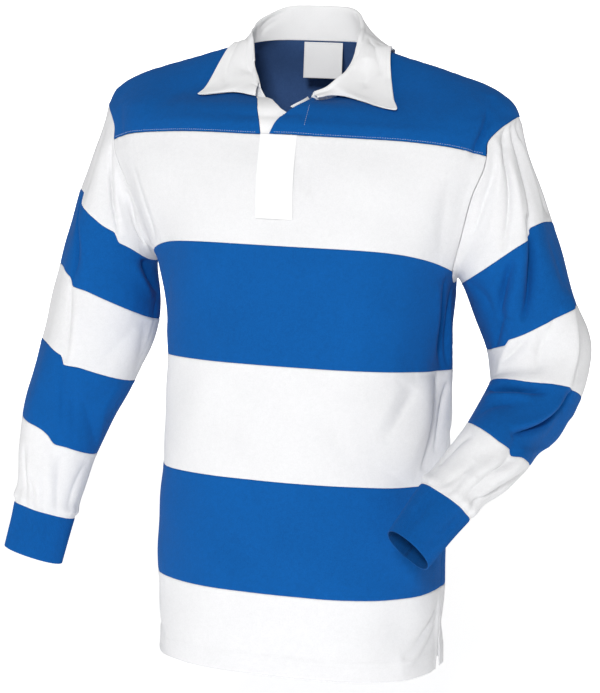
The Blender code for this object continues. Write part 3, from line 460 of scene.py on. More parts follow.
def sides_of(name, points, triangles):
    """The two sides of a wall, each a list of its triangles, without the narrow rims between them."""
    corner = points[triangles]
    cross = np.cross(corner[:, 1] - corner[:, 0], corner[:, 2] - corner[:, 0])
    normal = cross / np.maximum(np.linalg.norm(cross, axis=1, keepdims=True), TINY)
    centre = corner.mean(axis=1)
    edge = np.linalg.norm(np.roll(corner, -1, axis=1) - corner, axis=2)
    side = list(np.where((abs(edge - WALLS.get(name, WALL)) > EVEN_WITHIN).all(axis=1))[0])
    if any(word in name for word in SLANTED):
        side = sorted(set(side) & set(faces_of_even_thickness(points, triangles, centre, normal)))
    owner = {i: i for i in side}

    def root(i):
        while owner[i] != i:
            owner[i] = owner[owner[i]]
            i = owner[i]
        return i

    edges = {}
    for i in side:
        a, b, c = triangles[i]
        for edge in ((a, b), (b, c), (c, a)):
            edges.setdefault(tuple(sorted(edge)), []).append(i)
    for found in edges.values():
        for other in found[1:]:
            owner[root(other)] = root(found[0])
    groups = {}
    for i in side:
        groups.setdefault(root(i), []).append(i)
    return list(groups.values()), centre, cross


def outer_side(name, facing=None):
    """Points and triangles of a wall's outside. Facing is the way it looks, None for away from the middle."""
    points, triangles = wall_triangles(name)
    groups, centre, cross = sides_of(name, points, triangles)
    away = centre - points.mean(axis=0) if is_sleeve(name) else centre * (1, 1, 0)
    if facing is not None:
        away = np.broadcast_to(facing, centre.shape)
    corners = set()
    for group in groups:
        if (cross[group] * away[group]).sum() > 0:
            corners |= set(triangles[group].ravel())
    return points, triangles[[set(three) <= corners for three in triangles.tolist()]]


def is_sleeve(name):
    """Whether a node belongs to a sleeve, which is a tube."""
    return "sleeve" in name or "cuff" in name


def boundary_loops(triangles):
    """The closed paths of points round a sheet's edges."""
    uses = {}
    for a, b, c in triangles:
        for edge in ((a, b), (b, c), (c, a)):
            uses[edge] = True
    after = {a: b for a, b in uses if (b, a) not in uses}
    loops = []
    while after:
        start = next(iter(after))
        loop, here = [start], after.pop(start)
        while here != start:
            loop.append(here)
            here = after.pop(here)
        loops.append(loop)
    return loops


def neighbours_of(triangles):
    """The points that each point shares an edge with."""
    near = {}
    for a, b, c in triangles:
        near.setdefault(a, set()).update((b, c))
        near.setdefault(b, set()).update((a, c))
        near.setdefault(c, set()).update((a, b))
    return near


def opposite_sides(points, triangles, loop, long_side):
    """The points along two sides of a sheet that has four: its long ones, or its lowest and highest."""
    count, total = len(loop), len(neighbours_of(triangles))
    half = count // 2
    spread = math.sqrt(max(half * half / 4 - (total - half - 1), 0))
    long, short = round(half / 2 + spread), round(half / 2 - spread)
    if (long + 1) * (short + 1) != total:
        raise RuntimeError(f"a sheet of {total} points round {count} isn't a grid")
    ahead = unit(np.roll(points[loop], -1, axis=0) - points[loop])
    turning = 1 - (ahead * np.roll(ahead, 1, axis=0)).sum(axis=1)

    def corners_turn(start, side):
        """How much the edge turns at four corners that are this far apart."""
        return sum(turning[k % count] for k in (start, start + side, start + half, start + half + side))

    tried = [(start, side) for start in range(half) for side in {long, short}]
    start, side = max(tried, key=lambda corner: (corners_turn(*corner), *corner))
    ring = loop[start:] + loop[:start] + [loop[start]]
    sides = [ring[:side + 1], ring[side:half + 1], ring[half:half + side + 1], ring[half + side:]]
    if long_side:
        return [side for side in sides if len(side) == long + 1]
    height = [points[side][:, 2].mean() for side in sides]
    return sides[::2] if abs(height[0] - height[2]) > abs(height[1] - height[3]) else sides[1::2]


def layers_from(row, near, ring):
    """Rows of points, each made of what the row before touches and in the order of its own path."""
    seen, rows = set(row), [list(row)]
    while True:
        following = set().union(*(near[i] for i in rows[-1])) - seen
        if not following:
            return rows
        first = following & near[rows[-1][0]]
        path = [next(i for i in first if ring or len(near[i] & following) <= 1)]
        while len(path) < len(following):
            path.append(next(i for i in near[path[-1]] & following if i not in path))
        seen |= following
        rows.append(path)


def align_ring(points, rows):
    """Turns each row of a tube so that its columns run straight."""
    lined = [rows[0]]
    for row in rows[1:]:
        before = points[lined[-1]]
        turned = [way[k:] + way[:k] for way in (row, row[::-1]) for k in range(len(row))]
        lined.append(min(turned, key=lambda way: np.linalg.norm(points[way] - before, axis=1).sum()))
    return lined


def grid_of(name, facing=None, long_side=False):
    """A wall's outside as rows of points that rise, with its columns running to the viewer's right."""
    points, triangles = outer_side(name, facing)
    near = neighbours_of(triangles)
    loops = boundary_loops(triangles)
    ring = len(loops) == 2
    ends = loops if ring else opposite_sides(points, triangles, loops[0], long_side)
    if long_side:
        low = min(ends, key=lambda side: np.linalg.norm(points[side][:, :2], axis=1).mean())
    else:
        low = min(ends, key=lambda side: points[side][:, 2].mean())
    rows = layers_from(low, near, ring)
    if ring:
        rows = align_ring(points, rows)
    if len({len(row) for row in rows}) != 1:
        raise RuntimeError(f"{name}: its rows aren't of one length: {[len(row) for row in rows]}")
    grid = points[np.array(rows)]
    a, b, c = points[triangles].transpose(1, 0, 2)
    cross = np.cross(b - a, c - a)
    tree = tree_of(points[triangles].mean(axis=1))
    first, right, _, above = np.moveaxis(cells(grid), 2, 0)
    own = np.cross(right - first, above - first).reshape(-1, 3)
    middle = ((right + above) / 2).reshape(-1, 3)
    tried = range(0, len(middle), CELLS_TRIED)
    agrees = sum(np.sign(own[k] @ cross[tree.find(middle[k])[1]]) for k in tried)
    return grid[:, ::-1] if agrees < 0 else grid


# ================================================================ smooth cloth from a coarse grid
def unit(vectors):
    """Vectors made one long."""
    return vectors / np.maximum(np.linalg.norm(vectors, axis=-1, keepdims=True), TINY)


def cells(grid):
    """The four corners of each cell of a grid, in order round it."""
    return np.stack([grid[:-1, :-1], grid[:-1, 1:], grid[1:, 1:], grid[1:, :-1]], axis=2)


def ease(share):
    """A share that starts and stops softly."""
    share = np.clip(share, 0, 1)
    return share * share * (3 - 2 * share)


def bell(far, width):
    """1 in the middle, and dying away over this width on either side."""
    return np.exp(-(far / width) ** 2)


def hermite(stations, values, at):
    """Cubic through values along their first axis."""
    tangent = np.gradient(values, stations, axis=0)
    i = np.clip(np.searchsorted(stations, at, side="right") - 1, 0, len(stations) - 2)
    width = (stations[i + 1] - stations[i])
    s = ((at - stations[i]) / width).reshape((-1,) + (1,) * (values.ndim - 1))
    width = width.reshape(s.shape)
    return ((1 + 2 * s) * (1 - s) ** 2 * values[i] + s * (1 - s) ** 2 * width * tangent[i]
            + s * s * (3 - 2 * s) * values[i + 1] + s * s * (s - 1) * width * tangent[i + 1])


def stations_of(grid, axis):
    """How far each row or column of a grid is from the first one, on average."""
    step = np.linalg.norm(np.diff(grid, axis=axis), axis=2).mean(axis=1 - axis)
    return np.concatenate([[0], np.cumsum(step)])


def places_between(stations, step, seams, split=None):
    """Places along stations, about a step apart and closer beside the seams. Each station is among them."""
    kept = [stations[k] + way * place for k in seams for place in EDGE_PLACES for way in (-1, 1)]
    kept = np.array([place for place in kept if stations[0] < place < stations[-1]])
    places = [stations[0]]
    for a, b in zip(stations, stations[1:]):
        count = split or max(1, math.ceil((b - a) / step))
        plain = a + (b - a) * np.arange(1, count + 1) / count
        if split is None and len(kept):
            plain = [place for place in plain if place == plain[-1] or abs(kept - place).min() > CLOSEST]
        places += list(plain)
    return np.unique(np.concatenate([places, kept])) if split is None else np.array(places)


def lengths_along(points, axis):
    """How far each point is along its row or column from the first one."""
    step = np.linalg.norm(np.diff(points, axis=axis), axis=2)
    start = np.zeros_like(step.take([0], axis=axis))
    return np.concatenate([start, np.cumsum(step, axis=axis)], axis=axis)


def blur(places, reach, girth=None):
    """Weights that even out values along places, or round a tube with this girth."""
    gap = places[:, None] - places
    if girth:
        gap = (gap + girth / 2) % girth - girth / 2
    weight = bell(gap, reach) * np.gradient(places)
    return weight / weight.sum(axis=1, keepdims=True)


class Cloth:
    """A fine grid of points, made smooth from a coarse one. Its rows rise, its columns run to the right."""

    def __init__(self, grid, step, seams=None, ring=False, split=None):
        self.ring = ring
        count = grid.shape[1]
        if ring:
            grid = np.concatenate([grid[:, -RING_PAD:], grid, grid[:, :RING_PAD + 1]], axis=1)
        stations = stations_of(grid, 1)
        kept = stations[RING_PAD:RING_PAD + count + 1] if ring else stations
        places = places_between(kept, step, (0, len(kept) - 1), split)
        columns = hermite(stations, grid.transpose(1, 0, 2), places).transpose(1, 0, 2)
        self.across = places - places[0]
        stations = stations_of(grid, 0)
        seams = (0, len(stations) - 1) if seams is None else seams
        self.up = places_between(stations, step, seams)
        self.points = hermite(stations, columns, self.up)
        self.seams = [int(np.searchsorted(self.up, stations[k] - WELD)) for k in seams]
        self.place_up = self.up[:, None] + np.zeros(len(self.across))
        self.lift = np.zeros(self.points.shape[:2])
        row, column = lengths_along(self.points, 1), lengths_along(self.points, 0)
        self.from_edge = {"start": row, "end": row[:, -1:] - row, "low": column, "high": column[-1:] - column}

    def normals(self):
        """The way out at each point."""
        points = self.points
        if self.ring:
            points = np.concatenate([points[:, -3:-1], points, points[:, 1:3]], axis=1)
        along = np.gradient(points, axis=1)
        if self.ring:
            along = along[:, 2:-2]
        return unit(np.cross(along, np.gradient(self.points, axis=0)))

    def soften(self, reach=SOFTEN):
        """Evens out what is left of the coarse grid, and keeps the open edges where they are."""
        girth = self.across[-1] if self.ring else None
        along, across = blur(self.up, reach), blur(self.across, reach, girth)
        even = np.einsum("ab,cd,bde->ace", along, across, self.points, optimize=True)
        edges = ("low", "high") if self.ring else ("start", "end", "low", "high")
        share = np.min([ease(self.from_edge[edge] / (2 * reach)) for edge in edges], axis=0)
        self.points += (even - self.points) * share[..., None]

    def slide(self, amount):
        """Slides the cloth down its columns by an amount at each point."""
        self.place_up = self.up[:, None] - amount
        for k in range(self.points.shape[1]):
            for axis in range(3):
                self.points[:, k, axis] = np.interp(self.place_up[:, k], self.up, self.points[:, k, axis])

    def fade(self, *edges, reach=EDGE_FADE):
        """Takes the lift away towards these edges."""
        for edge in edges:
            self.lift *= ease(self.from_edge[edge] / reach)

    def inside(self, margin):
        """Above nothing where a point is farther than this from the cloth's start and end."""
        return np.minimum(self.from_edge["start"], self.from_edge["end"]) - margin

    def raise_points(self):
        """Moves the points out by their lift."""
        self.points = self.points + self.normals() * self.lift[..., None]
        self.lift = np.zeros_like(self.lift)

    def trimmed(self, rows):
        """A stretch of rows, with its edges moved in by half a seam gap."""
        points = self.points[rows]
        moved = points.copy()
        moved[0] += unit(points[1] - points[0]) * SEAM_HALF
        moved[-1] += unit(points[-2] - points[-1]) * SEAM_HALF
        if not self.ring:
            moved[:, 0] += unit(points[:, 1] - points[:, 0]) * SEAM_HALF
            moved[:, -1] += unit(points[:, -2] - points[:, -1]) * SEAM_HALF
        return moved


def places_on_body(cloth):
    """Across and along of each point of a front or back, in metres."""
    points = cloth.points
    length = lengths_along(points, 1)
    rows = np.arange(len(points))
    middle = abs(points[..., 0]).argmin(axis=1)
    way = np.sign(points[:, -1, 0] - points[:, 0, 0])[:, None]
    return (length - length[rows, middle][:, None]) * way + points[rows, middle, 0][:, None], points[..., 2]


def places_on_sleeve(cloth, side):
    """Turn in degrees and along in metres of each point of a sleeve, and how long a degree is there."""
    length = lengths_along(cloth.points, 1)
    girth = length[:, -1:]
    turn = (length / girth - 0.5) * (360 if side == "right" else -360)
    return turn, cloth.up[-1] - cloth.place_up, np.broadcast_to(girth / 360, turn.shape)


def fold_lift(across, along, scale, places, lift, width, crisp, lean=0):
    """Height of one fold at each place, all in millimetres. Scale is how many a unit of across takes."""
    start, middle, stop = np.array(places, float).reshape(3, 2)
    bend = 2 * middle - (start + stop) / 2
    share = np.linspace(0, 1, FOLD_STEPS + 1)[:, None]
    path = (1 - share) ** 2 * start + 2 * share * (1 - share) * bend + share * share * stop
    nearest = np.full(across.shape, np.inf)
    signed, at = np.zeros(across.shape), np.zeros(across.shape)
    for k, (a, b) in enumerate(zip(path, path[1:])):
        way_x, way_y = (b[0] - a[0]) * scale, b[1] - a[1]
        off_x, off_y = (across - a[0]) * scale, along - a[1]
        part = np.clip((off_x * way_x + off_y * way_y) / (way_x ** 2 + way_y ** 2), 0, 1)
        far = np.hypot(off_x - part * way_x, off_y - part * way_y)
        closer = far < nearest
        nearest = np.where(closer, far, nearest)
        signed = np.where(closer, np.sign(way_x * off_y - way_y * off_x) * far, signed)
        at = np.where(closer, (k + part) / FOLD_STEPS, at)
    width = width * (1 - np.sign(signed) * lean)
    soft = 1 - crisp
    profile = np.exp(soft - np.sqrt((signed / width) ** 2 * 2 + soft * soft))
    return lift * profile * np.maximum(np.sin(math.pi * at), 0) ** FOLD_FADE


def add_folds(cloth, folds, across, along, degree=None):
    """Adds folds to the lift. Degree is how long one is at each point, where across is in degrees."""
    if degree is None:
        across = across / MM
    scale = 1 if degree is None else degree / MM
    for fold in folds:
        middle = fold[2]
        near = (across - middle + 180) % 360 - 180 + middle if cloth.ring else across
        cloth.lift += fold_lift(near, along / MM, scale, fold[:6], *fold[6:]) * MM


def waves(values, lengths, seed):
    """A sum of uneven sines, about from -1 to 1."""
    draw = np.random.default_rng(seed)
    return sum(draw.uniform(*WAVE_HEIGHTS) * np.sin(values * math.tau / length + draw.uniform(0, math.tau))
               for length in lengths)


def swell(points):
    """The uneven swell of loose cloth, the same on either side of a seam."""
    draw = np.random.default_rng(ROLL_SEED)
    total = np.zeros(points.shape[:-1])
    for _ in range(ROLL_COUNT):
        way = unit(draw.normal(size=3) * (1, 1, ROLL_RISE))
        total += np.sin(points @ way * math.tau / draw.uniform(*ROLL_WAVES) + draw.uniform(0, math.tau))
    return total / math.sqrt(ROLL_COUNT)


def add_seams(cloth, seams, edges):
    """Draws the cloth in at its seams, with small ripples beside them."""
    for number, row in enumerate(seams):
        above = cloth.up - cloth.up[row]
        far = abs(above)[:, None]
        cloth.lift -= SEAM_DIP * bell(far, SEAM_WIDTH)
        cloth.lift += PUCKER * waves(cloth.across, PUCKER_WAVES, number) * np.exp(-far / PUCKER_REACH)
        turned = ease((ALLOWANCE + above) / SEAM_WIDTH) * (above < 0)
        cloth.lift += ALLOWANCE_LIFT * turned[:, None]
    for number, edge in enumerate(edges):
        far = cloth.from_edge[edge]
        run = cloth.up[:, None] if edge in ("start", "end") else cloth.across[None, :]
        cloth.lift -= SEAM_DIP * bell(far, SEAM_WIDTH)
        ripples = waves(run, PUCKER_WAVES, EDGE_SEED + number) * ease(far / SEAM_WIDTH)
        cloth.lift += PUCKER * ripples * np.exp(-far / PUCKER_REACH)


def stack(names):
    """One coarse grid from hoops that follow each other upwards, and the row of each seam."""
    grids = [grid_of(name) for name in names]
    whole, seams = grids[0], [0]
    for grid in grids[1:]:
        if is_sleeve(names[0]):
            start = int(np.argmin(np.linalg.norm(grid[0] - whole[-1, 0], axis=1)))
            grid = np.roll(grid, -start, axis=1)
        seams.append(len(whole) - 1)
        joint = (whole[-1] + grid[0]) / 2
        whole = np.concatenate([whole[:-1], joint[None], grid[1:]])
    seams.append(len(whole) - 1)
    return whole, seams


# ================================================================ making pieces
def deselect():
    """Leaves nothing selected."""
    for item in bpy.context.selected_objects:
        item.select_set(False)


def apply_modifier(item, kind, **settings):
    """Adds a modifier with these settings and applies it."""
    deselect()
    item.select_set(True)
    bpy.context.view_layer.objects.active = item
    modifier = item.modifiers.new(kind.title(), kind)
    for key, value in settings.items():
        setattr(modifier, key, value)
    bpy.ops.object.modifier_apply(modifier=modifier.name)
    item.select_set(False)


def free_edges(cloth, edges):
    """How much of the thickness is left at each point, less along edges that aren't sewn down."""
    far = np.min([cloth.from_edge[edge] for edge in edges], axis=0)
    return ROUND_SHARE + (1 - ROUND_SHARE) * np.sqrt(np.clip(1 - (1 - far / ROUND).clip(0) ** 2, 0, 1))


def new_object(name, points, faces):
    """A smooth piece from an array of points and a list of faces."""
    mesh = bpy.data.meshes.new(name)
    mesh.from_pydata(points.tolist(), [], faces)
    mesh.shade_smooth()
    item = bpy.data.objects.new(name, mesh)
    bpy.context.scene.collection.objects.link(item)
    return item


def sheet_object(name, points, across, up, thickness, ring=False, left=None):
    """A piece of cloth from a grid of points, with its own UV map in metres, made a wall inwards. Left is how
    much of the thickness there is at each point."""
    rows, columns = points.shape[:2]
    used = columns - 1 if ring else columns
    index = np.arange(rows * used).reshape(rows, used)
    if ring:
        index = np.concatenate([index, index[:, :1]], axis=1)
    item = new_object(name, points[:, :used].reshape(-1, 3), cells(index).reshape(-1, 4).tolist())
    mesh = item.data
    flat = cells(np.stack(np.meshgrid(across, up), axis=-1))
    mesh.uv_layers.new(name="cloth").data.foreach_set("uv", flat.astype(np.float32).ravel())
    settings = {"thickness": thickness, "offset": -1.0}
    if left is not None:
        group = item.vertex_groups.new(name="thickness")
        for i, share in enumerate(left[:, :used].ravel().tolist()):
            group.add([i], share, "REPLACE")
        settings["vertex_group"] = group.name
    apply_modifier(item, "SOLIDIFY", **settings)
    item.vertex_groups.clear()
    sides = np.zeros(len(mesh.vertices), np.float32)
    sides[rows * used:] = 1
    mesh.attributes.new("reverse", "FLOAT", "POINT").data.foreach_set("value", sides)
    return item


def dress(item, node, slot, cut):
    """Gives a piece its finish, hangs it under the root and hides the imported wall it stands in for. Cut is
    its flat size and area.
    """
    item.data.materials.append(MATERIALS[slot])
    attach(item, "root")
    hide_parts(node)


def contour(cloth, field, level, sideways=False, keep=None):
    """Points and normals where a field over the cloth has this level: one in each column, or in each row
    where it runs sideways. Keep is a field that is above nothing where the line goes."""
    keep = np.ones(field.shape) if keep is None else keep
    values = np.concatenate([cloth.points, cloth.normals(), keep[..., None]], axis=2)
    if sideways:
        field, values = field.T, values.transpose(1, 0, 2)
    line = []
    for k in range(field.shape[1]):
        order = np.argsort(field[:, k])
        *here, kept = [np.interp(level, field[order, k], values[order, k, i]) for i in range(values.shape[2])]
        if kept > 0 and field[:, k].min() < level < field[:, k].max():
            line.append(here)
    return np.array(line)


def stitch_rows(name, lines):
    """Stitches along lines of points and normals, copied from one and joined."""
    sizes = bpy.context.scene.shirt_sizes
    deselect()
    bpy.ops.mesh.primitive_uv_sphere_add(segments=STITCH_SEGMENTS, ring_count=STITCH_RINGS, radius=0.5)
    first = bpy.context.active_object
    shape = np.array([corner.co[:] for corner in first.data.vertices])
    shape *= (sizes.thread, sizes.thread * STITCH_HEIGHT, sizes.stitch * STITCH_FILL)
    faces = [list(face.vertices) for face in first.data.polygons]
    bpy.data.objects.remove(first)
    corners, every = [], []
    for line in lines:
        points, normals = line[:, :3], line[:, 3:]
        length = stations_of(points[:, None], 0)
        at = np.arange(sizes.stitch, length[-1] - sizes.stitch / 2, sizes.stitch)
        place, ahead, behind, out = (
            np.stack([np.interp(at + shift, length, values[:, axis]) for axis in range(3)], axis=1)
            for values, shift in (
                (points, 0), (points, STITCH_REACH), (points, -STITCH_REACH), (normals, 0)))
        along = unit(ahead - behind)
        side = unit(np.cross(along, out))
        out = np.cross(side, along)
        for centre, x, y, z in zip(place, side, out, along):
            every += [[i + len(corners) * len(shape) for i in face] for face in faces]
            corners.append(centre + y * sizes.thread * STITCH_SIT + shape @ np.array([x, y, z]))
    item = new_object(name, np.concatenate(corners), every)
    item.data.materials.append(MATERIALS["white_thread"])
    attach(item, "root")
    return item


def cut_of(points):
    """Flat width, length and area of a piece."""
    width, length = lengths_along(points, 1).max(), lengths_along(points, 0).max()
    a, b, c, d = np.moveaxis(cells(points), 2, 0)
    halves = np.cross(b - a, d - a), np.cross(d - c, b - c)
    area = sum(np.linalg.norm(half, axis=2).sum() for half in halves) / 2
    width, length = math.ceil(width * 1000) / 1000, math.ceil(length * 1000) / 1000
    return (width, length), min(round(area, 4), width * length)


# ================================================================ materials
class Wire:
    """A socket in a material's tree, so that shader maths reads as an expression."""

    def __init__(self, finish, socket):
        self.finish, self.socket = finish, socket

    def maths(self, operation, *values):
        """The result of one step of maths."""
        return self.finish.node("ShaderNodeMath", {"operation": operation}, dict(enumerate(values)))

    def __add__(self, other):
        return self.maths("ADD", self, other)

    def __radd__(self, other):
        return self.maths("ADD", other, self)

    def __sub__(self, other):
        return self.maths("SUBTRACT", self, other)

    def __rsub__(self, other):
        return self.maths("SUBTRACT", other, self)

    def __mul__(self, other):
        return self.maths("MULTIPLY", self, other)

    def __rmul__(self, other):
        return self.maths("MULTIPLY", other, self)

    def __truediv__(self, other):
        return self.maths("DIVIDE", self, other)

    def __abs__(self):
        return self.maths("ABSOLUTE", self)

    def part(self):
        """The part past the last whole number."""
        return self.maths("FRACT", self)

    def cosine(self):
        """The cosine of an angle in radians."""
        return self.maths("COSINE", self)


class Finish:
    """A material in the making. Look is the values of its shader that don't vary."""

    def __init__(self, name, look):
        self.material = bpy.data.materials.new(name)
        self.material.use_nodes = True
        self.tree = self.material.node_tree
        self.shader = self.tree.nodes["Principled BSDF"]
        for key, value in look.items():
            self.shader.inputs[key].default_value = value

    def node(self, kind, settings, values, output=0):
        """A new node of this kind. Values go to its sockets as they are, or as a link."""
        made = self.tree.nodes.new(kind)
        for key, value in settings.items():
            setattr(made, key, value)
        for key, value in values.items():
            if isinstance(value, Wire):
                self.tree.links.new(value.socket, made.inputs[key])
            else:
                made.inputs[key].default_value = value
        return Wire(self, made.outputs[output])

    def set(self, key, value):
        """Lets a value of the shader vary."""
        self.tree.links.new(value.socket, self.shader.inputs[key])

    def cloth_places(self):
        """Across and up the cloth, in metres."""
        flat = self.node("ShaderNodeUVMap", {"uv_map": "cloth"}, {})
        return [self.node("ShaderNodeSeparateXYZ", {}, {0: flat}, axis) for axis in (0, 1)]

    def noise(self, size, detail=PLAIN):
        """Uneven values about 0.5, in lumps of this size in metres."""
        place = self.node("ShaderNodeTexCoord", {}, {}, "Object")
        return self.node("ShaderNodeTexNoise", {}, {"Vector": place, "Scale": 1 / size, "Detail": detail})

    def mix(self, share, first, second):
        """One colour passing into another as the share goes from 0 to 1."""
        colours = {6: (*first, 1), 7: (*second, 1)}
        return self.node("ShaderNodeMix", {"data_type": "RGBA"}, {0: share, **colours}, 2)

    def tint(self, colour, share):
        """The colour made lighter or darker by this share."""
        return self.node("ShaderNodeVectorMath", {"operation": "SCALE"}, {0: colour, "Scale": share})

    def bump(self, height, depth):
        """The normal over a relief of this depth in metres."""
        return self.node("ShaderNodeBump", {}, {"Height": height, "Distance": depth, "Strength": 1.0})


def jersey(name, colour, pitch=JERSEY_PITCH, reverse=None):
    """Plain knit: columns of small v stitches, uneven in colour, and the more so the deeper its dye."""
    grey = sum(colour) / 3
    uneven = UNEVEN * (UNEVEN_BY_DYE - grey)
    finish = Finish(name, KNIT_LOOK)
    across, up = finish.cloth_places()
    column = (across / pitch).part() - 0.5
    stitch = (up / (pitch * KNIT_HEIGHT) + abs(column) * KNIT_SLOPE).part() - 0.5
    yarn = 1 - abs(stitch) * abs(stitch) * KNIT_ROUND[0] - abs(column) * abs(column) * KNIT_ROUND[1]
    fuzz = finish.noise(FUZZ_SIZE, FINE)
    patches = finish.noise(PATCH_SIZE, FINE)
    wash = finish.noise(WASH_SIZE)
    share = 1 + uneven * ((fuzz - 0.5) + (patches - 0.5) * PATCHES + (wash - 0.5) * WASH)
    behind = finish.node("ShaderNodeAttribute", {"attribute_name": "reverse"}, {}, "Fac")
    faded = [part + (grey - part) * FADED for part in colour]
    finish.set("Base Color", finish.tint(finish.mix(behind, colour, reverse or faded), share))
    finish.set("Roughness", KNIT_ROUGH[0] + patches * KNIT_ROUGH[1])
    finish.set("Normal", finish.bump(yarn + fuzz * KNIT_FUZZ, KNIT_DEPTH))
    return finish.material


def rib(name, colour):
    """The knit of the cuffs, finer and closer than the jersey, with its inside painted darker as painted
    shade.
    """
    return jersey(name, colour, JERSEY_PITCH * RIB_PITCH, [part * CUFF_INSIDE_SHADE for part in colour])


def twill(name, colour):
    """Woven cloth with a fine diagonal."""
    finish = Finish(name, TWILL_LOOK)
    across, up = finish.cloth_places()
    line = ((across + up) * (math.tau / TWILL_PITCH)).cosine()
    warp = (across * (math.tau / TWILL_PITCH * TWILL_WARP)).cosine()
    fuzz = finish.noise(TWILL_FUZZ_SIZE, FINE)
    wash = finish.noise(TWILL_WASH_SIZE)
    plain, by_fuzz, by_wash = TWILL_TINT
    finish.set("Base Color", finish.tint(colour, plain + fuzz * by_fuzz + wash * by_wash))
    of_line, of_warp, of_fuzz = TWILL_RELIEF
    finish.set("Normal", finish.bump(line * of_line + warp * of_warp + fuzz * of_fuzz, TWILL_DEPTH))
    return finish.material


def thread(name, colour):
    """Spun sewing thread, twisted, with painted shade: darker in the grooves of its twist and lighter on its
    ridges.
    """
    finish = Finish(name, THREAD_LOOK)
    place = finish.node("ShaderNodeTexCoord", {}, {}, "Object")
    x, y, z = [finish.node("ShaderNodeSeparateXYZ", {}, {0: place}, axis) for axis in range(3)]
    twist = ((x + y + z) * (math.tau / THREAD_TWIST)).cosine()
    # painted shade: the colour follows the twist's relief, darker in its grooves
    finish.set("Base Color", finish.tint(colour, THREAD_TINT_AND_GROOVE_SHADE[0] + twist * THREAD_TINT_AND_GROOVE_SHADE[1]))
    finish.set("Normal", finish.bump(twist, THREAD_DEPTH))
    return finish.material


# ================================================================ operators
def make_hoops(cloth, names, thickness, stitches=None):
    """Cuts a finished cloth into its hoops. Stitches gives the lines of stitches on each, by name."""
    cloth.raise_points()
    lines = stitches(cloth) if stitches else {}
    for name, low, high in zip(names, cloth.seams, cloth.seams[1:]):
        rows = slice(low, high + 1)
        sewn = [stitch_rows(name + "_stitches", lines[name])] if name in lines else []
        points, up = cloth.trimmed(rows), cloth.up[rows]
        item = sheet_object(name + "_cloth", points, cloth.across, up, thickness, cloth.ring)
        hoop = name.split("_", 1)[1]
        slot = "blue_rib" if hoop == "cuff" else "blue_jersey" if hoop in BLUE_HOOPS else "white_jersey"
        dress(item, name, slot, cut_of(cloth.points[rows]))


def hem_stitches(panel):
    """Twin rows round the hem, one beside each vent, and one over the back's yoke seam."""
    def lines(cloth):
        edge = cloth.from_edge
        inner = cloth.inside(VENT_STITCHES)
        first = HEM - HEM_STITCHES
        rows = [contour(cloth, edge["low"], level, keep=inner) for level in (first, first - TWIN)]
        low = np.minimum(VENT - edge["low"], edge["low"] - STRIP_STITCHES)
        rows += [contour(cloth, edge[side], VENT_STITCHES, True, low) for side in ("start", "end")]
        sewn = {f"{panel}_hem_hoop": rows}
        if panel == "back":
            above = cloth.up[:, None] - cloth.up[cloth.seams[-2]] + np.zeros(cloth.lift.shape)
            sewn["back_yoke"] = [contour(cloth, above, SEAM_STITCHES, keep=inner)]
        return sewn
    return lines


def yoke_stitches(name):
    """A row over the yoke seam, and one down the flap behind the opening."""
    def lines(cloth):
        inner = cloth.inside(STRIP_STITCHES)
        rows = [contour(cloth, cloth.from_edge["low"], SEAM_STITCHES, keep=inner)]
        if name == FLAP:
            across, height = places_on_body(cloth)
            low, high = FLAP_ROW
            between = np.minimum(height - low, high - height)
            rows.append(contour(cloth, across, FLAP_STITCHES, True, between))
        return {name: rows}
    return lines


def add_hem(cloth):
    """The turned hem lies double under its stitches."""
    above = cloth.from_edge["low"]
    cloth.lift += HEM_LIFT * (1 - ease((above - HEM) / SEAM_WIDTH))


def shape_body(cloth, panel, seams):
    """Folds, swell and seams of a front or back. Seams are the rows of those that run across it."""
    across, along = places_on_body(cloth)
    cloth.lift += ROLL * swell(cloth.points)
    add_folds(cloth, FOLDS[panel], across, along)
    cloth.fade("start", "end")
    add_seams(cloth, seams, ("start", "end"))


class SHIRT_OT_body(bpy.types.Operator):
    """Makes the jersey hoops of the front and back"""
    bl_idname = "shirt.body"
    bl_label = "Body hoops"

    def execute(self, context):
        thickness = context.scene.shirt_sizes.cloth
        for panel, hoops in PANELS.items():
            names = [f"{panel}_{hoop}" for hoop in hoops]
            coarse, seams = stack(names)
            cloth = Cloth(coarse, STEP if panel == "front" else BACK_STEP, seams)
            cloth.soften()
            shape_body(cloth, panel, cloth.seams[1:])
            add_hem(cloth)
            make_hoops(cloth, names, thickness, hem_stitches(panel))
        for name in ("front_yoke_right", FLAP):
            cloth = Cloth(grid_of(name), STEP)
            cloth.soften(YOKE_SOFTEN)
            shape_body(cloth, "front", cloth.seams)
            if name == FLAP:
                inwards = cloth.from_edge["start"] - FLAP_TURNED
                cloth.lift += FLAP_LIFT * (1 - ease(inwards / FLAP_SOFT))
            make_hoops(cloth, [name], thickness, yoke_stitches(name))
        return {"FINISHED"}


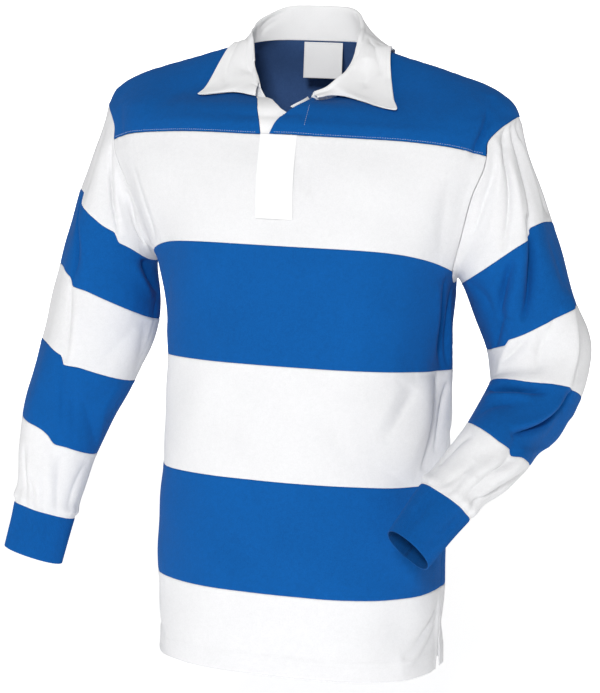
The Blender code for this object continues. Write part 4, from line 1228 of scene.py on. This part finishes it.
class SHIRT_OT_sleeves(bpy.types.Operator):
    """Makes the jersey hoops and the rib cuffs of the sleeves"""
    bl_idname = "shirt.sleeves"
    bl_label = "Sleeves"

    def execute(self, context):
        thickness = context.scene.shirt_sizes.cloth
        for side in ("right", "left"):
            names = [f"{side}_{hoop}" for hoop in SLEEVE_HOOPS]
            coarse, seams = stack(names)
            coarse = np.roll(coarse, -int(np.argmin(coarse[-1, :, 2])), axis=1)
            cloth = Cloth(coarse, SLEEVE_STEP, seams, ring=True)
            cloth.soften()
            self.shape(cloth, side)
            cloth.seams = cloth.seams[1:]
            make_hoops(cloth, names[1:], thickness)
            cuff = Cloth(coarse[:seams[1] + 1], STEP, ring=True, split=CUFF_SPLIT)
            self.shape_cuff(cuff)
            make_hoops(cuff, names[:1], thickness)
        return {"FINISHED"}

    def lap(self, cloth, side):
        """Makes the hoop seams step where a crease laps the cloth."""
        turn, _, _ = places_on_sleeve(cloth, side)
        amount = np.zeros_like(turn)
        for seam, place, drop, sharpness in STEPS[side]:
            off = turn - place
            step = ease(off / sharpness / 2 + 0.5) - ease(off / STEP_SOFT / 2 + 0.5)
            far = abs(cloth.up - cloth.up[cloth.seams[seam]])[:, None] / STEP_REACH
            amount += drop * MM * step * (1 - ease(far))
        cloth.slide(amount)

    def shape(self, cloth, side):
        """Folds, swell and seams of a sleeve, and its gathers at the cuff."""
        self.lap(cloth, side)
        turn, along, degree = places_on_sleeve(cloth, side)
        cloth.lift += ROLL * swell(cloth.points)
        add_folds(cloth, FOLDS[side], turn, along, degree)
        cloth.fade("high", reach=ARMHOLE_FADE)
        above = (cloth.up - cloth.up[cloth.seams[1]])[:, None]
        turn = np.radians(turn)
        gathers = waves(turn, [math.tau / count for count in GATHER_COUNTS], GATHER_SEEDS[side])
        gathers = GATHER * gathers * np.exp(-abs(above) / GATHER_REACH)
        uneven = 1 + PUFF_UNEVEN * np.sin(turn * PUFF_LOBES)
        puff = PUFF * bell(above - PUFF_ABOVE, PUFF_ABOVE) * uneven
        cloth.lift = (cloth.lift + gathers + puff) * ease(above / PUFF_ABOVE)
        add_seams(cloth, cloth.seams[2:-1], ("high",))

    def shape_cuff(self, cuff):
        """Ribs round the cuff, drawn in where it is sewn on."""
        share = cuff.across / cuff.across[-1]
        cuff.lift += RIB_LIFT * np.cos(share * math.tau * CUFF_RIBS)[None, :]
        cuff.lift *= ease(cuff.from_edge["high"] / SEAM_WIDTH / 2)
        cuff.lift -= SEAM_DIP * bell(cuff.from_edge["high"], SEAM_WIDTH)


class SHIRT_OT_collar(bpy.types.Operator):
    """Makes the collar, the plackets and the label"""
    bl_idname = "shirt.collar"
    bl_label = "Collar and placket"

    def execute(self, context):
        sizes = context.scene.shirt_sizes
        shaped = {"collar": self.collar, "placket_over": self.placket, "neck_label": self.label}
        for name, facing, long_side, slot, free in STRIPS:
            thickness = sizes.twill if name == "collar" else sizes.strip
            cloth = Cloth(grid_of(name, facing, long_side), STRIP_STEP)
            cut = cut_of(cloth.points)
            lines = shaped[name](cloth) if name in shaped else []
            for field, level, _, keep in lines:
                cloth.lift -= GROOVE * bell(field - level, GROOVE_WIDTH) * (keep > 0)
            left = free_edges(cloth, free)
            cloth.lift -= (1 - left) * thickness / 2
            cloth.raise_points()
            rows = [contour(cloth, *line) for line in lines]
            sewn = [stitch_rows(name + "_stitches", rows)] if rows else []
            item = sheet_object(name + "_cloth", cloth.points, cloth.across, cloth.up, thickness, left=left)
            dress(item, name, slot, cut)
        return {"FINISHED"}

    def collar(self, cloth):
        """Folds and swell of the collar, and its row of stitches: field, level, sideways, keep."""
        edge = cloth.from_edge
        across = cloth.across - cloth.across[-1] / 2 + np.zeros(cloth.lift.shape)
        add_folds(cloth, FOLDS["collar"], across, edge["low"])
        cloth.lift += COLLAR_SWELL * swell(cloth.points)
        cloth.fade("low")
        inner = np.minimum(cloth.inside(COLLAR_STITCHES), edge["low"] - COLLAR_RIDGE)
        return [(edge["high"], COLLAR_STITCHES, False, inner)]

    def placket(self, cloth):
        """The rows round the placket and over its box."""
        edge = cloth.from_edge
        above = edge["low"] - STRIP_STITCHES
        inner = cloth.inside(STRIP_STITCHES)
        lines = [(edge["low"], level, False, inner) for level in (STRIP_STITCHES, BOX)]
        return lines + [(edge[side], STRIP_STITCHES, True, above) for side in ("start", "end")]

    def label(self, cloth):
        """The row along the top of the label."""
        return [(cloth.from_edge["high"], STRIP_STITCHES, False, cloth.inside(STRIP_STITCHES))]


class SHIRT_OT_stage(bpy.types.Operator):
    """Makes the backdrop, the lights and the camera"""
    bl_idname = "shirt.stage"
    bl_label = "Stage"

    def execute(self, context):
        scene = context.scene
        scene.view_settings.view_transform = "Standard"
        world = bpy.data.worlds.new("studio")
        scene.world = world
        world.use_nodes = True
        room = world.node_tree.nodes["Background"].inputs
        room["Color"].default_value = (1, 1, 1, 1)
        room["Strength"].default_value = ROOM_LIGHT
        for name, place, tilt, size, glow in STAGE:
            deselect()
            turned = (math.radians(tilt), 0, math.radians(CAMERA_TURN))
            bpy.ops.mesh.primitive_plane_add(size=size, location=place, rotation=turned)
            panel = context.active_object
            panel.name = name
            paper = Finish(name, {**PAPER_LOOK, "Emission Strength": glow})
            grain = paper.noise(PAPER_GRAIN)
            paper.set("Base Color", paper.tint(PAPER, PAPER_TINT[0] + grain * PAPER_TINT[1]))
            panel.data.materials.append(paper.material)
        for name, place, size, power in LAMPS:
            data = bpy.data.lights.new(name, "AREA")
            data.size, data.energy = size, power
            lamp = bpy.data.objects.new(name, data)
            scene.collection.objects.link(lamp)
            lamp.location = place
            away = Vector(place) - Vector(CAMERA_TARGET)
            lamp.rotation_euler = away.to_track_quat("Z", "Y").to_euler()
        turn, rise, roll = (math.radians(x) for x in (CAMERA_TURN, CAMERA_RISE, CAMERA_ROLL))
        back = Vector((math.sin(turn) * math.cos(rise), -math.cos(turn) * math.cos(rise), math.sin(rise)))
        right = Vector((math.cos(turn), math.sin(turn), 0))
        up = back.cross(right)
        side = right * math.cos(roll) + up * math.sin(roll)
        over = up * math.cos(roll) - right * math.sin(roll)
        data = bpy.data.cameras.new("camera")
        data.sensor_width = SENSOR
        data.sensor_fit = "HORIZONTAL"
        data.lens = FOCAL_PIXELS * SENSOR / IMAGE_SIZE[0]
        data.shift_x = (IMAGE_SIZE[0] / 2 - TARGET_PIXEL[0]) / IMAGE_SIZE[0]
        data.shift_y = (TARGET_PIXEL[1] - IMAGE_SIZE[1] / 2) / IMAGE_SIZE[0]
        camera = bpy.data.objects.new("camera", data)
        scene.collection.objects.link(camera)
        place = Vector(CAMERA_TARGET) + back * CAMERA_DISTANCE
        camera.matrix_world = Matrix.Translation(place) @ Matrix((side, over, back)).transposed().to_4x4()
        scene.camera = camera
        return {"FINISHED"}


class SHIRT_PT_panel(bpy.types.Panel):
    """Lists the sizes, the colours and the steps"""
    bl_idname = "SHIRT_PT_panel"
    bl_label = "Rugby shirt"
    bl_space_type = "VIEW_3D"
    bl_region_type = "UI"
    bl_category = "Shirt"

    def draw(self, context):
        for group in (context.scene.shirt_sizes, context.scene.shirt_colours):
            for key in group.__annotations__:
                self.layout.prop(group, key)
        for operator in OPERATORS:
            self.layout.operator(operator.bl_idname)


OPERATORS = (SHIRT_OT_body, SHIRT_OT_sleeves, SHIRT_OT_collar, SHIRT_OT_stage)
CLASSES = (ShirtSizes, ShirtColours, *OPERATORS, SHIRT_PT_panel)
MATERIALS = {}  # by slot, made in main()


def register():
    """Makes the properties, operators and panel known to Blender."""
    for kind in CLASSES:
        bpy.utils.register_class(kind)
    bpy.types.Scene.shirt_sizes = bpy.props.PointerProperty(type=ShirtSizes)
    bpy.types.Scene.shirt_colours = bpy.props.PointerProperty(type=ShirtColours)


def unregister():
    """Takes them away again."""
    del bpy.types.Scene.shirt_sizes, bpy.types.Scene.shirt_colours
    for kind in reversed(CLASSES):
        bpy.utils.unregister_class(kind)


def main():
    """Makes the materials, every piece and the stage."""
    register()
    colours = bpy.context.scene.shirt_colours
    for slot, make, colour in (
        ("blue_jersey", jersey, colours.blue),
        ("white_jersey", jersey, colours.white),
        ("white_twill", twill, colours.twill),
        ("blue_rib", rib, colours.blue),
        ("white_tape", twill, colours.twill),
        ("white_thread", thread, colours.twill),
    ):
        MATERIALS[slot] = make(slot, tuple(colour))
    bpy.ops.shirt.body()
    bpy.ops.shirt.sleeves()
    bpy.ops.shirt.collar()
    bpy.ops.shirt.stage()


if __name__ == "__main__":
    main()
